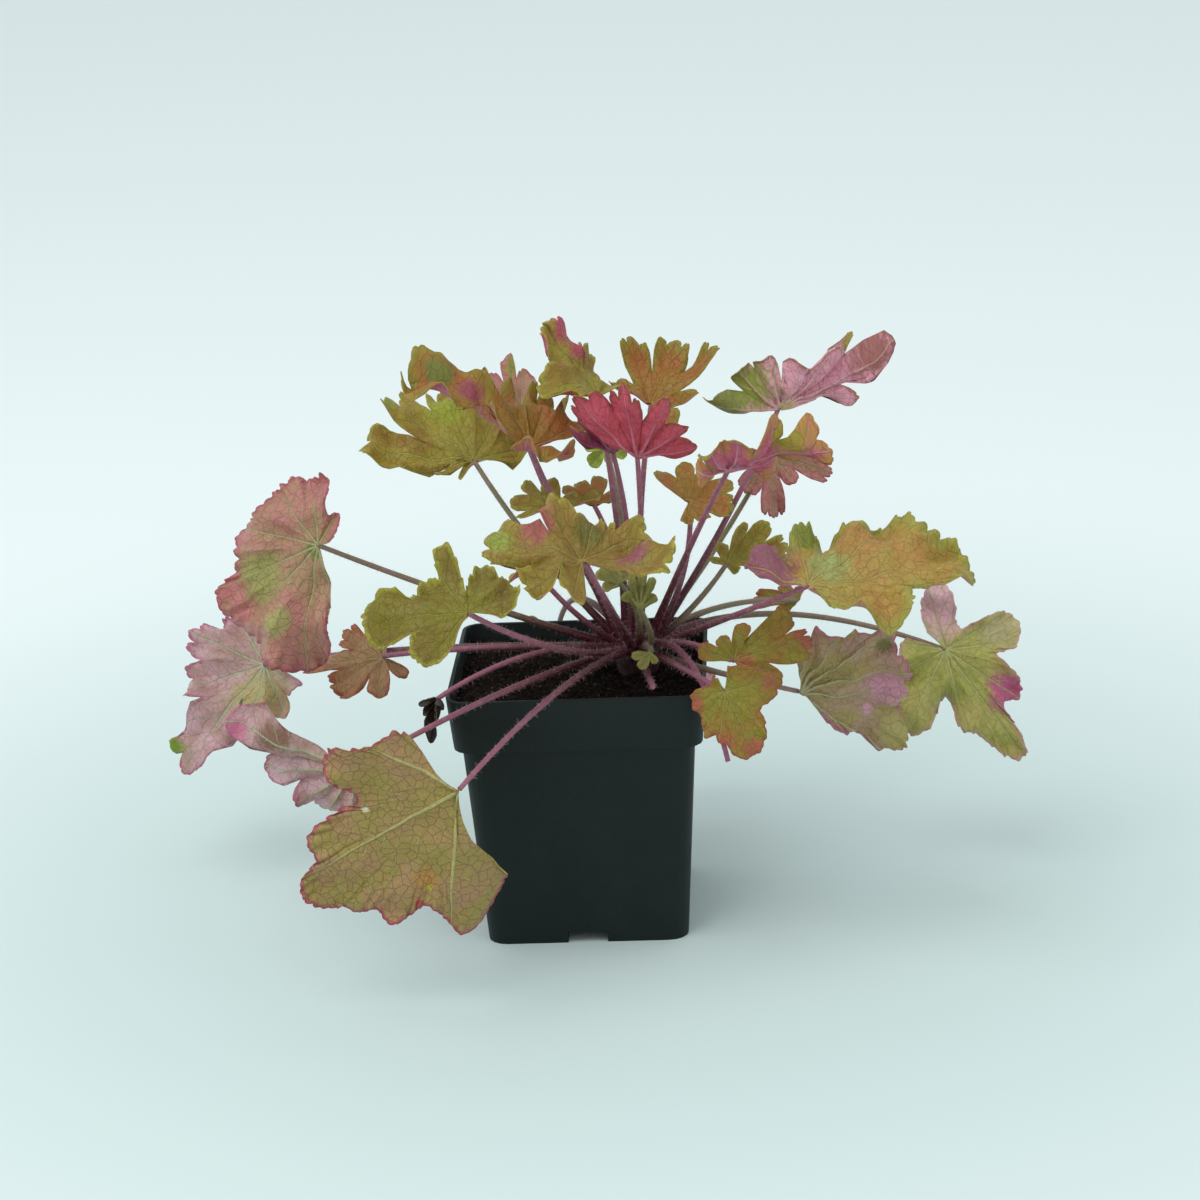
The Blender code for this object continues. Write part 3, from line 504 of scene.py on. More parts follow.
def bladeMesh(name, spec, build):
    rows = outline(spec, build)
    angles, reaches = rows[:, 0], rows[:, 1]
    lobes = rows[:, 2].astype(int)
    rings = max(8, round(reaches.max() / build["ringStep"]))
    shares = (np.arange(1, rings + 1) / rings) ** 0.9
    share, angle = np.meshgrid(shares, angles, indexing="ij")
    middle = (angles[0] + angles[-1]) / 2  # a wedge blade is narrower near the stalk
    angle = middle + (angle - middle) * (1 - spec["wedge"] * (1 - share) ** 2)
    reach, lobe = np.broadcast_to(reaches, share.shape), np.broadcast_to(lobes, share.shape)
    places = bladePlaces(spec, build, angle, reach, share, lobe, (rows[:, 3], rows[:, 4]))
    spec["marks"] = [(places[np.abs(shares - out).argmin(), np.abs(angles - turned).argmin()], radius, colour)
                     for turned, out, radius, colour in spec["spots"]]
    points = np.vstack((np.array([spec["hinge"]]) * mm, places.reshape(-1, 3)))
    across = len(angles)
    faces = [(0, column + 2, column + 1) for column in range(across - 1)]
    faces += [(here, here + 1, here + across + 1, here + across)
              for ring in range(rings - 1) for here in range(1 + ring * across, (ring + 1) * across)]
    mesh = bpy.data.meshes.new(name)
    mesh.from_pydata(points, [], faces)
    run = share * reach
    flat = np.vstack(((0, 0), np.stack(polar(run, angle), -1).reshape(-1, 2)))
    rim = np.sqrt(((flat[:, None, :] - flat[None, -across:, :]) ** 2).sum(-1)).min(1)
    addValues(mesh, "share", np.append(0, share.ravel()))
    addValues(mesh, "rim", rim)
    columns = np.repeat(np.tile(np.arange(across - 1), rings), [len(face) for face in faces])
    ribAngles = lobeAngles(spec)[lobes[columns]]
    setMaps(mesh, flat, np.append(0, run.ravel()), np.append(0, angle.ravel()), ribAngles, spec["seed"])
    normals = np.zeros(len(mesh.vertices) * 3)
    mesh.vertex_normals.foreach_get("vector", normals)
    addValues(mesh, "upSide", normals, "FLOAT_VECTOR")
    side, _ = polar(run, angle - lobeAngles(spec)[lobe])
    ribs = np.exp(-(side / build["ribWide"]) ** 2) * (1 - 0.85 * share)
    return mesh, np.append(1, ribs.ravel())


def setMaps(mesh, flat, run, angles, ribAngles, seed):  # one along each lobe's rib, and the flat leaf
    corners = np.zeros(len(mesh.loops), int)
    mesh.loops.foreach_get("vertex_index", corners)
    ribs = np.stack(polar(run[corners], angles[corners] - ribAngles), -1)
    for name, values in (("ribs", ribs), ("flat", flat[corners] + seed * 31.7)):
        mesh.uv_layers.new(name=name).data.foreach_set("uv", values.ravel().astype(np.float32))


def makeLeaf(name, spec, build):
    mesh, ribs = bladeMesh(name, spec, build)
    blade = newObject("leaf_" + name, mesh, leafMaterial(name, spec, leafInk))
    group = blade.vertex_groups.new(name="thickness")
    thin = build["thin"] / (build["thin"] + build["rib"])
    for number, weight in enumerate(thin + (1 - thin) * ribs):
        group.add([number], float(weight), "REPLACE")
    wall = blade.modifiers.new("thickness", "SOLIDIFY")
    wall.thickness = (build["thin"] + build["rib"]) * mm
    wall.offset = -1
    wall.vertex_group = "thickness"
    wall.use_even_offset = False
    blade.data = applied(blade)
    blade.vertex_groups.clear()
    blade.data.shade_smooth()
    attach(blade, "root")
    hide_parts("blade_" + name)
    return len(blade.data.polygons)


# Leaf finishes: two tones of the blade, its middle near the stalk, its edge, its main veins and the fine net

leafTints = dict(
    tan=("9a8a4e", "a88662", "9c8c4e", "a84464", "b8b27c", "7c584c"),
    mauve=("c9a5ab", "b18d8a", "b39a8c", "b0607c", "aab58c", "8f7a6c"),
    coral=("cc6472", "c05862", "b65660", "8a4a40", "d08496", "8e3c48"),
    maroon=("8c3a55", "7a2f45", "80304a", "9a5a5a", "b0788c", "5c2234"),
    pink=("e8aebc", "d698a8", "de9eb0", "8e6a40", "dcb4a8", "a05a74"),
    plum=("b4586e", "c07284", "b2667a", "b08a4a", "d4a5b5", "84405a"),
    lemon=("927e2e", "907030", "7c622a", "a89c3a", "9c8c48", "745e20"),
    blush=("ac8e7c", "a2905e", "9e9060", "b07088", "a9a37c", "8a6458"),
    moss=("86824c", "7a7444", "8a8850", "94904e", "9c9660", "66603a"),
    gold=("ac8c34", "b07c32", "9c943a", "9c9c3c", "b0944c", "86642c"),
    green=("7c7018", "786420", "827e22", "9e9a30", "8e8838", "60561a"),
    olive=("98863c", "8c6c34", "969240", "a09a4a", "a09a58", "70682e"),
    brown=("a4683e", "98743a", "94783c", "8c863c", "ac8654", "744c2c"),
    rose=("b87a78", "ae8270", "908c56", "a85c68", "aaa47a", "86565a"),
    salmon=("927038", "8a7e34", "848636", "9c6044", "a09858", "765e30"),
    tawny=("b58c6c", "a17a5c", "a08a5c", "a5604c", "b9a57c", "80603f"),
    lime=("9aa84a", "87963f", "9cb052", "a9b85a", "b4c070", "6f7c35"),
    pale=("aaa85e", "b0a466", "a2a45a", "c09a8c", "b8b480", "80804a"),
    dried=("2a211c", "1c1714", "241d19", "3a2e26", "15110f", "120f0d"))
# The noises lie on the flat leaf, per mm. The reliefs are of the main veins, the side veins, both nets and
# the speckle.
leafInk = dict(shaken=(0.16, 3, 0.6), small=(0.7, 3, 0.6), mottle=(1 / 15, 4, 0.6), mottleRange=(0.4, 0.6),
               mainWide=0.62, mainTip=0.25, mainSoft=0.4, sideVein=(0.078, 0.364), sideEnd=(0.7, 1.1),
               sideWander=0.9, netBend=0.3, netCells=(3.2, 1.3), netLine=0.075,
               heart=(0.15, 0.8), heartWide=(0.8, 3.6), heartNarrows=2.5, heartBeside=0.8,
               edgeFrom=0.3, edgeWide=1.6, edgeWander=3, edgeShown=0.85,
               spotLobes=1.2, spotFrays=0.9, spotMean=1.05, spotSoft=(0.4, 1.15),
               mainShown=0.7, sideShown=0.45, netShown=(0.34, 0.16), speckle=(0.36, 0.82),
               roughness=(0.4, 0.2), reliefs=(1.2, 0.9, 0.5, 0.25, 0.8), bump=(0.8, 0.35),
               shader={"Specular IOR Level": 0.4, "Subsurface Weight": 0.12,
                       "Subsurface Radius": (1, 0.6, 0.3), "Subsurface Scale": mm})


def leafVeins(tree, spec, ink, ribs, share, shaken):  # how much of a lobe's rib and of a side vein is here
    side = sums(tree, "ABSOLUTE", ribs[0])
    wide = plus(tree, times(tree, share, (ink["mainTip"] - ink["mainWide"]) * spec["ribs"]),
                ink["mainWide"] * spec["ribs"])
    main = fall(tree, side, times(tree, wide, ink["mainSoft"]), wide)
    pitch = quiltPitch(spec, leafBuild)
    steps = less(tree, ribs[1], times(tree, side, leafBuild["slant"]))
    steps = sums(tree, "DIVIDE", steps, pitch)
    steps = plus(tree, steps, times(tree, sums(tree, "GREATER_THAN", ribs[0], 0.0), leafBuild["sideShift"]))
    steps = plus(tree, steps, times(tree, less(tree, shaken, 0.5), ink["sideWander"]))
    off = times(tree, sums(tree, "ABSOLUTE", less(tree, sums(tree, "FRACT", steps), 0.5)), -1.0)
    off = times(tree, plus(tree, off, 0.5), pitch)  # mm to the nearest side vein
    second = times(tree, fall(tree, off, *ink["sideVein"]), fall(tree, share, *ink["sideEnd"]))
    return side, main, second


def leafNets(tree, ink, flat):
    bend = node(tree, "ShaderNodeTexNoise", {"Vector": flat, "Scale": ink["netBend"]}).outputs["Color"]
    bent = vectors(tree, "ADD", flat, bend)
    edges = [node(tree, "ShaderNodeTexVoronoi", {"Vector": bent, "Scale": 1 / cell}, voronoi_dimensions="2D",
                  feature="DISTANCE_TO_EDGE").outputs["Distance"] for cell in ink["netCells"]]
    return [fall(tree, edge, 0.0, ink["netLine"]) for edge in edges]


def leafMaterial(name, spec, ink):
    made, tree, where = newMaterial("leaf_" + name)
    ribs = parts(tree, node(tree, "ShaderNodeUVMap", uv_map="ribs").outputs[0])
    flat = node(tree, "ShaderNodeUVMap", uv_map="flat").outputs[0]
    share, rim = attribute(tree, "share"), attribute(tree, "rim")
    outward = node(tree, "ShaderNodeNewGeometry").outputs["Normal"]
    turned = vectors(tree, "DOT_PRODUCT", attribute(tree, "upSide", "Vector"), outward, output="Value")
    upper = ramp(tree, turned, -0.1, 0.1)
    tones = [blend(tree, upper, *pair) for pair in zip(leafTints[spec["under"]], leafTints[spec["upper"]])]
    shaken, small = grain(tree, flat, *ink["shaken"]), grain(tree, flat, *ink["small"])
    side, main, second = leafVeins(tree, spec, ink, ribs, share, shaken)
    nets = leafNets(tree, ink, flat)

    colour = blend(tree, patches(tree, flat, ink["mottle"], ink["mottleRange"]), tones[0], tones[1])
    inner = fall(tree, plus(tree, share, less(tree, shaken, 0.5)), *ink["heart"])
    along = plus(tree, side, times(tree, share, ink["heartNarrows"]))
    beside = fall(tree, along, *ink["heartWide"])  # the tone of the middle runs out beside the ribs
    inner = sums(tree, "MAXIMUM", inner, times(tree, beside, ink["heartBeside"]))
    colour = blend(tree, times(tree, inner, spec["heart"]), colour, tones[2])
    near = plus(tree, rim, times(tree, less(tree, small, 0.5), ink["edgeWander"]))
    outer = fall(tree, near, ink["edgeFrom"], ink["edgeWide"] * spec["edge"])
    colour = blend(tree, times(tree, outer, ink["edgeShown"]), colour, tones[3])
    for place, radius, shade in spec["marks"]:
        away = vectors(tree, "DISTANCE", where, list(place), output="Value")
        shape = plus(tree, times(tree, shaken, ink["spotLobes"]), times(tree, small, ink["spotFrays"]))
        away = plus(tree, away, times(tree, less(tree, shape, ink["spotMean"]), radius * mm))
        patch = fall(tree, away, *(radius * mm * reach for reach in ink["spotSoft"]))
        colour = blend(tree, patch, colour, shade)
    web = plus(tree, *(times(tree, net, shown * spec["net"]) for net, shown in zip(nets, ink["netShown"])))
    colour = blend(tree, web, colour, tones[5])
    colour = blend(tree, times(tree, second, ink["sideShown"] * spec["vein"]), colour, tones[4])
    colour = blend(tree, times(tree, main, ink["mainShown"] * spec["vein"]), colour, tones[4])
    spread, least = ink["speckle"]
    speckle = plus(tree, times(tree, small, spread), least)
    values = {"Color": colour, "Value": speckle, "Saturation": spec["rich"]}
    colour = node(tree, "ShaderNodeHueSaturation", values).outputs[0]
    least, spread = ink["roughness"]
    gloss = plus(tree, times(tree, shaken, spread), least)

    lines = [times(tree, line, rise) for line, rise in zip((main, second, *nets, small), ink["reliefs"])]
    raised = plus(tree, plus(tree, lines[0], lines[1]), plus(tree, lines[2], lines[3]))
    sunk = less(tree, 1.0, times(tree, upper, 2.0))  # veins stand out below and lie in grooves above
    height = plus(tree, times(tree, raised, sunk), lines[4])
    return finish(made, ink, {"Base Color": colour, "Roughness": gloss}, height)


# A leaf is its name, its upper and lower tints, its hinge, its direction, where its face turns, a point that
# its stalk passes, and its lobes. A lobe is its angle, its length, the degrees that it curls upwards and,
# where the notch after it is a special one, that notch's depth. The rim is the outline's points, as angle and
# length. Cup and fold are degrees, width is how far the outer lobes reach round, sinus the usual depth of a
# notch, toss how much the curls differ, and wedge how much narrower the base is. A spot is a patch of colour,
# with its angle, its share of the way out, its radius and its colour.

usual = dict(cup=0, fold=0, ruffle=0.04, width=20, sinus=0.24, blunt=4, pleat=0.04, frill=0.1, toss=14,
             lumpy=1.5, wedge=0, net=1, heart=0.5, edge=1, rich=1.08, vein=0.7, spots=())
leaves = {}


def leaf(name, upper, under, hinge, along, face, via, lobes, **own):
    size = max(lobe[1] for lobe in lobes)
    given = dict(usual, upper=upper, under=under, hinge=hinge, along=along, face=face, via=via, lobes=lobes)
    leaves[name] = dict(given, size=size, ribs=0.5 + size / 80, seed=len(leaves), **own)


leaf("front_left", "gold", "tan", (-36, -100, 83), (-0.83, 0.11, -0.54), (0.1, 0.99, 0.05), (-8, -58, 99),
     ((-66, 47, -20), (-3, 68, 0), (49, 60, 12), (74, 44, 45)), rim=((-86, 28), (-78, 33), (-66, 33),
     (-60, 43), (-50, 48), (-36, 42), (-25, 33), (-22, 45), (-14, 58), (-6, 54), (-3, 66), (4, 70),
     (11, 66), (13, 61), (18, 62), (21, 55), (29, 59), (35, 51), (38, 45), (46, 50), (54, 60), (64, 51),
     (74, 44)), ruffle=0.015, width=15, wedge=0.35, pleat=0.02, frill=0.03, toss=0, lumpy=1, net=2, vein=1,
     spots=((36, 0.75, 5, "b0844c"), (38, 0.83, 1.6, "b2ac40"), (36, 0.96, 2, "b04a50"),
     (-22, 0.75, 1.5, "ded4bc")))
leaf("left_low", "mauve", "mauve", (-74, -72, 81), (-0.9, 0, 0.05), (0.15, 0.95, 0.2), (-25, -47, 98),
     ((-20, 46, 10), (3, 31, 0), (35, 24, 0), (60, 25, 0), (88, 20, 0)), ruffle=0.02, width=10, sinus=0.1,
     frill=0.09, toss=8, vein=1, spots=((-23, 0.67, 7, "7c5a4c"), (-16, 0.92, 5, "c87a94")))
leaf("left_high", "rose", "pink", (-86, -34, 149), (-0.92, 0.1, -0.37), (-0.23, -0.92, 0.32),
     (-37, -10, 120), ((-80, 33, -6), (-58, 45, -8), (-24, 43, -10), (0, 41, -10), (33, 35, -10),
     (70, 27, -10), (104, 25, -5), (140, 12, 10)), rim=((-82, 20), (-76, 34), (-66, 42), (-53, 47),
     (-38, 45), (-30, 42), (-18, 45), (0, 43), (7, 35), (14, 31), (22, 35), (32, 37), (42, 29), (50, 26),
     (62, 28), (84, 28), (96, 24), (110, 26), (124, 21), (129, 12), (136, 11), (148, 15), (166, 13),
     (190, 6)), cup=-3, width=15, pleat=0.05, frill=0.11, toss=4, lumpy=2, net=1.3, vein=1,
     spots=((-5, 0.59, 11, "98965a"), (-41, 0.67, 7, "a09a62"), (-28, 0.05, 4, "6a7a3c")))
leaf("left_back", "mauve", "olive", (-120, 46, 80), (-0.69, -0.35, -0.63), (-0.24, -0.71, 0.66),
     (-46, 8, 97), ((-92, 17, -30), (-62, 21, -20), (-34, 28, -10), (0, 51, -10), (37, 33, 0), (72, 32, 10),
     (105, 31, 20)), ruffle=0.05, sinus=0.12, blunt=3, vein=1, spots=((9, 1, 7, "7f9a3c"),
     (-36, 0.46, 14, "b0a274")))
leaf("front_green", "green", "mauve", (-31, -86, 139.8), (-1, -0.03, -0.02), (0, -0.45, 0.89),
     (-18, -66, 125), ((-57, 24, -12), (-2, 35, -8), (60, 25, 0), (105, 28, -14), (150, 20, -18)),
     rim=((-74, 13), (-68, 23), (-55, 27), (-38, 26), (-28, 20), (-25, 19), (-22, 28), (-14, 34), (0, 36),
     (13, 35), (20, 30), (24, 21), (30, 22), (41, 24), (52, 23), (56, 17), (59, 20), (64, 27), (76, 26),
     (83, 15), (86, 8), (89, 17), (98, 25), (110, 24), (122, 21), (134, 21), (148, 19), (156, 18),
     (176, 19), (200, 12)), cup=2, ruffle=0.05, pleat=0.06, frill=0.09, toss=4, rich=1)
leaf("left_small", "tawny", "mauve", (-71, 8, 94), (-0.95, -0.27, -0.15), (0, -0.49, 0.87), (-46, -4, 100),
     ((-117, 12, -15), (-65, 15, -20), (-12, 22, -15), (12, 31, -5), (55, 19, 10), (100, 14, 10)),
     ruffle=0.05)
leaf("back_left", "olive", "pink", (-37, 38, 158), (-0.95, 0.26, 0.22), (0, -0.49, 0.87), (-25, 26, 142),
     ((-70, 8, 0), (-38, 15, 0), (-10, 43, 0, 0.42), (18, 42, 10), (50, 38, 10), (90, 32, 5), (133, 24, 0)),
     ruffle=0.05, sinus=0.26, frill=0.12, toss=8, spots=((46, 0.71, 9, "949a3a"), (15, 1, 6, "8c8a3a")))
leaf("left_top", "brown", "plum", (-14, 4, 171), (-0.95, 0.1, 0.3), (0.2, -0.1, 1), (-7, 6, 151),
     ((-140, 22, 0), (-90, 22, 0), (-45, 25, 5), (-4, 53, -22), (40, 32, 0), (88, 30, 0), (138, 23, 0)),
     cup=28, sinus=0.22, toss=5, edge=2, spots=((6, 0.55, 6, "9c5560"), (3, 0.79, 7, "6f7434")))
leaf("back_top", "rose", "pink", (-22, 70, 162), (-0.23, 0.78, 0.58), (0, -0.6, 0.8), (-8, 50, 131),
     ((-40, 17, 0), (-13, 27, 0), (3, 32, 0), (15, 25, 0), (55, 16, 0)), cup=10,
     spots=((8, 1, 5, "8c8a3e"),))
leaf("top_left", "olive", "plum", (10, 16, 186), (-0.6, 0.1, 0.72), (0.6, -0.1, 0.6), (14, 12, 149),
     ((-100, 24, -10), (-50, 27, -30), (0, 32, 0), (45, 22, 10), (90, 12, 0)), fold=15, sinus=0.22,
     frill=0.14, spots=((15, 0.96, 8, "b8586c"), (21, 0.96, 6, "a8545e")))
leaf("top_right", "brown", "plum", (28, 26, 180), (0.85, 0.49, 0.19), (0, -0.37, 0.93), (23, 20, 142),
     ((-117, 18, 0), (-75, 25, 20), (-38, 28, 10), (0, 31, 0), (38, 18, -5), (81, 14, -15)), cup=15,
     ruffle=0.06, sinus=0.28, frill=0.13, edge=2)
leaf("centre_pink", "gold", "coral", (24, -16, 172), (-0.17, -0.65, 0.74), (0, 0.76, 0.65), (24, -8, 147),
     ((-100, 21, 0), (-66, 22, 0), (-34, 27, 0), (-4, 33, 5), (24, 36, 0)), cup=10, width=18, sinus=0.3,
     blunt=1.8, pleat=0.08, frill=0.06, toss=8, vein=1)
leaf("centre_dark", "brown", "maroon", (15, -2, 170.3), (-0.18, -0.74, 0.64), (0, 0.65, 0.76), (18, 4, 147),
     ((-52, 15, 0), (-25, 22, 0), (-4, 28, 0), (13, 27, 0), (34, 20, 0)), cup=10, width=16, sinus=0.3,
     blunt=1.5, pleat=0.08)
leaf("right_top", "pink", "pink", (73, 18, 179), (0.92, 0.1, 0.38), (-0.1, 0.85, 0.5), (57, 12, 147),
     ((-28, 17, -10), (-13, 28, 0, 0.08), (2, 47, 0, 0.14), (17, 37, 10), (33, 33, 0), (52, 26, -30, 0.3),
     (80, 20, 10), (115, 20, 25), (150, 27, 30)), width=14, sinus=0.2, toss=10, lumpy=2,
     spots=((127, 0.75, 14, "868c3e"), (144, 0.88, 11, "7c8440"), (16, 0.92, 5, "b4a838"),
     (4, 0.83, 11, "96625c"), (-7, 0.09, 4, "aca63c")))
leaf("right_middle", "brown", "plum", (55, -34, 171), (0.89, -0.21, 0.41), (-0.2, 0.64, 0.74),
     (45, -16, 147), ((-38, 20, -10), (-6, 37, -5), (22, 27, -15), (52, 22, -35), (84, 20, -35),
     (130, 12, -20)), cup=5, ruffle=0.06, width=18, sinus=0.14, frill=0.15, edge=2.6,
     spots=((6, 0.83, 8, "9a8c38"),))
leaf("right_back", "rose", "pink", (70, 62, 150), (0.03, -0.37, -0.93), (0.09, -0.92, 0.37), (57, 66, 127),
     ((-105, 13, 0), (-72, 25, -10), (-36, 14, 0), (0, 24, 0), (37, 17, 0), (90, 12, 0)), cup=-5, width=18,
     edge=0.7)
leaf("centre_right", "brown", "plum", (41, 2, 150), (0.99, 0.1, 0.06), (0, -0.51, 0.86), (40, 4, 134),
     ((-125, 17, 10), (-90, 17, 15), (-55, 15, 10), (-20, 17, 5), (20, 16, -5), (65, 11, -15),
     (105, 10, -10)), cup=5, ruffle=0.06)
leaf("centre_left", "olive", "pink", (-7, 10, 147), (-0.94, 0.3, 0.17), (0, -0.49, 0.87), (4, 12, 123),
     ((-30, 14, -10), (-2, 17, 0), (32, 18, 10), (52, 14, 10), (121, 10, 5), (148, 17, 0)), cup=5)
leaf("centre_back", "brown", "plum", (6, 30, 142), (-0.29, 0.77, 0.57), (0, -0.6, 0.8), (14, 22, 123),
     ((-44, 13, 0), (-10, 13, 0), (25, 14, 0), (70, 9, 0)), cup=5)
leaf("centre_front", "lemon", "plum", (6, -62, 149), (-0.93, 0.35, 0.14), (0, -0.37, 0.93), (10, -40, 132),
     ((-104, 20, -35), (-64, 25, -25, 0.12), (-28, 26, -15, 0.2), (5, 38, -15, 0.35), (42, 26, 0, 0.2),
     (82, 24, 12, 0.2), (122, 26, 20, 0.25), (172, 33, 10)), cup=6, ruffle=0.06, width=14, sinus=0.18,
     blunt=5, frill=0.15, toss=8, lumpy=2.2, rich=1, spots=((21, 0.88, 9, "a85a58"), (79, 0.5, 7, "6c6628"),
     (155, 0.55, 7, "94505a"), (2, 0.83, 5, "96a045")))
leaf("right_front", "gold", "plum", (81, -62, 138), (0.99, 0.13, 0.07), (0, -0.51, 0.86), (58, -34, 120),
     ((-148, 24, 0), (-88, 30, 5), (-60, 31, 0), (-32, 48, 0), (-2, 57, -6), (30, 37, -10), (60, 15, -10)),
     rim=((-160, 16), (-152, 23), (-142, 25), (-128, 21), (-116, 17), (-104, 18), (-98, 23), (-88, 27),
     (-76, 27), (-68, 23), (-62, 25), (-56, 30), (-48, 34), (-44, 33), (-40, 40), (-32, 45), (-24, 44),
     (-20, 47), (-14, 54), (-4, 58), (4, 56), (8, 48), (10, 36), (13, 34), (19, 36), (28, 37), (37, 33),
     (42, 26), (46, 20), (54, 15), (64, 10), (76, 5)), ruffle=0.05, pleat=0.03, frill=0.09, toss=4, lumpy=2,
     edge=3.2, rich=0.95, vein=1, spots=((-143, 0.67, 14, "8e4e62"), (-39, 0.26, 9, "9ba35c"),
     (-79, 0.96, 9, "8b953c")))
leaf("right_low", "salmon", "pink", (55, -46, 107), (0.98, 0.09, 0.2), (-0.05, -0.8, 0.6), (40, -24, 106),
     ((-148, 13, 0), (-104, 10, 0), (-61, 14, 0), (-27, 26, 0), (-2, 28, -10), (39, 18, -15)), edge=0.6,
     spots=((-10, 0.96, 5, "a4604e"), (-1, 0.96, 4, "a05a4c"), (46, 0.22, 5, "a86c48")))
leaf("right_lowest", "salmon", "pink", (52, -62, 101), (0.36, -0.23, -0.91), (0, -0.97, 0.24),
     (40, -40, 101), ((-132, 12, 0), (-84, 18, -5), (-40, 15, -5), (-4, 24, 0), (30, 18, -5), (62, 16, -10),
     (108, 14, 0), (150, 8, 0)), rim=((-153, 9), (-108, 13), (-88, 18), (-61, 18), (-44, 12), (-26, 19),
     (-4, 25), (15, 23), (19, 18), (30, 18), (38, 15), (46, 18), (62, 12), (95, 13), (123, 10), (130, 6),
     (175, 6)), toss=8, edge=0.6, spots=((94, 1, 5, "a65c4c"), (29, 1, 5, "a2584a"),
     (-5, 0.96, 5, "a8604e"), (-81, 0.92, 4, "a66450")))
leaf("right_pink", "olive", "blush", (77, -21, 86), (0.91, 0.02, 0.41), (-0.2, 0.9, 0.4), (47, -24, 96),
     ((-70, 50, 0), (-33, 41, 0), (-8, 40, 0), (14, 41, 0), (40, 30, -5), (62, 23, -10)), rim=((-76, 13),
     (-73, 32), (-70, 47), (-61, 52), (-50, 42), (-36, 41), (-22, 37), (-8, 41), (0, 37), (14, 43),
     (20, 31), (36, 32), (60, 23), (72, 21)), ruffle=0.03, width=16, wedge=0.3, frill=0.06, toss=5,
     lumpy=2.2, net=1.1, vein=1, spots=((-26, 0.88, 11, "c690a0"), (-54, 0.63, 2.4, "cc9cac"),
     (5, 0.92, 3.5, "6a6838"), (-60, 0.92, 9, "a89c62")))
leaf("right_far", "pale", "pink", (131, 30, 83), (0.57, -0.16, -0.81), (0, -0.98, 0.2), (57, 38, 96),
     ((-160, 25, 0), (-84, 25, 0), (-60, 29, 0), (-20, 34, 10), (0, 50, 0), (22, 32, 0), (62, 36, 0),
     (95, 20, 0), (135, 16, 0)), rim=((-188, 10), (-162, 25), (-144, 26), (-132, 17), (-124, 11), (-104, 9),
     (-95, 18), (-88, 25), (-72, 30), (-55, 26), (-50, 17), (-36, 28), (-19, 34), (-9, 27), (-6, 42),
     (0, 50), (8, 45), (15, 33), (27, 31), (28, 21), (38, 19), (46, 30), (60, 37), (75, 31), (93, 20),
     (123, 18), (143, 15)), width=22, frill=0.12, toss=10, lumpy=2, vein=1,
     spots=((-153, 0.67, 15, "d8aeb6"), (-20, 0.83, 9, "bc6488"), (-185, 1, 7, "c8b0a0"),
     (-72, 0.75, 9, "b8ac84")))
leaf("right_small", "salmon", "pink", (78, 66, 92), (-0.99, 0.09, 0.08), (0, -0.66, 0.75), (57, 50, 97),
     ((-40, 9, 0), (0, 17, 0), (50, 10, 0), (95, 8, 0)), width=22)
leaf("right_olive", "olive", "pink", (53, 16, 123), (0.92, 0.29, 0.25), (0, -0.66, 0.75), (43, 12, 111),
     ((-143, 6, 0), (-74, 9, 0), (-44, 16, 0), (-19, 21, 5), (1, 24, 0), (74, 6, -10)))
leaf("young_upright", "moss", "moss", (23, -26, 120), (0.02, -0.1, 0.99), (0, 1, 0.1), (26, -14, 105),
     ((-47, 8, -30), (-21, 14, -10), (-6, 17, 0), (12, 14, -10), (31, 10, -30)), ruffle=0.03, width=22)
leaf("young_low", "moss", "moss", (26, -22, 103), (-0.73, -0.48, -0.48), (0, -0.71, 0.71), (25, -10, 101),
     ((-67, 5, 0), (-20, 8, 0), (25, 7, 0)), ruffle=0.02, width=25)
leaf("left_mauve", "brown", "maroon", (-12, -4, 126), (-0.72, -0.46, 0.53), (0, 0.76, 0.65), (-1, 0, 111),
     ((-37, 17, 0), (-13, 21, 0), (3, 22, 0), (24, 9, 0)), ruffle=0.02, width=22)
leaf("centre_lime", "lime", "lime", (10, 56, 156), (-0.82, -0.3, -0.48), (0, -0.85, 0.53), (15, 44, 133),
     ((-125, 8, 0), (-73, 6, 0), (-13, 9, 0), (45, 8, 0)), ruffle=0.05, width=25)
leaf("dry_left", "dried", "dried", (-48, -42, 94.5), (-0.1, 0, -1), (-0.3, -0.9, 0.1), (-22, -24, 102),
     ((-70, 5, 40), (-30, 8, 60), (3, 16, 20), (34, 7, 50), (75, 6, 30)), ruffle=0.08, width=16, sinus=0.5,
     blunt=2, frill=0.12, toss=20)
leaf("back_low", "olive", "pink", (-14, 78, 70), (-0.12, 0.45, -0.88), (0, 0.88, 0.45), (-2, 46, 102),
     ((-135, 17, 0), (-88, 23, 5), (-43, 28, -5), (0, 34, -10), (40, 29, -5), (84, 24, 5), (130, 18, 0)),
     cup=8, ruffle=0.05)
leaf("back_lowest", "rose", "pink", (25, 90, 61), (0.1, 0.5, -0.86), (0, 0.86, 0.5), (16, 46, 103),
     ((-130, 16, 0), (-84, 20, 5), (-42, 25, -10), (0, 30, -15), (45, 25, -10), (88, 21, 5), (133, 17, 0)),
     cup=10, ruffle=0.05)
leaf("centre_small", "moss", "moss", (16, -14, 126), (-0.98, -0.17, -0.13), (0, -0.6, 0.8), (21, -6, 113),
     ((-20, 7, 0), (35, 9, 0), (90, 10, 0), (140, 11, 0)), ruffle=0.05, width=25)

print("leaves", sum(makeLeaf(name, spec, leafBuild) for name, spec in leaves.items()), "faces")


# Stalks grow from the crown as curves, thickest at the foot

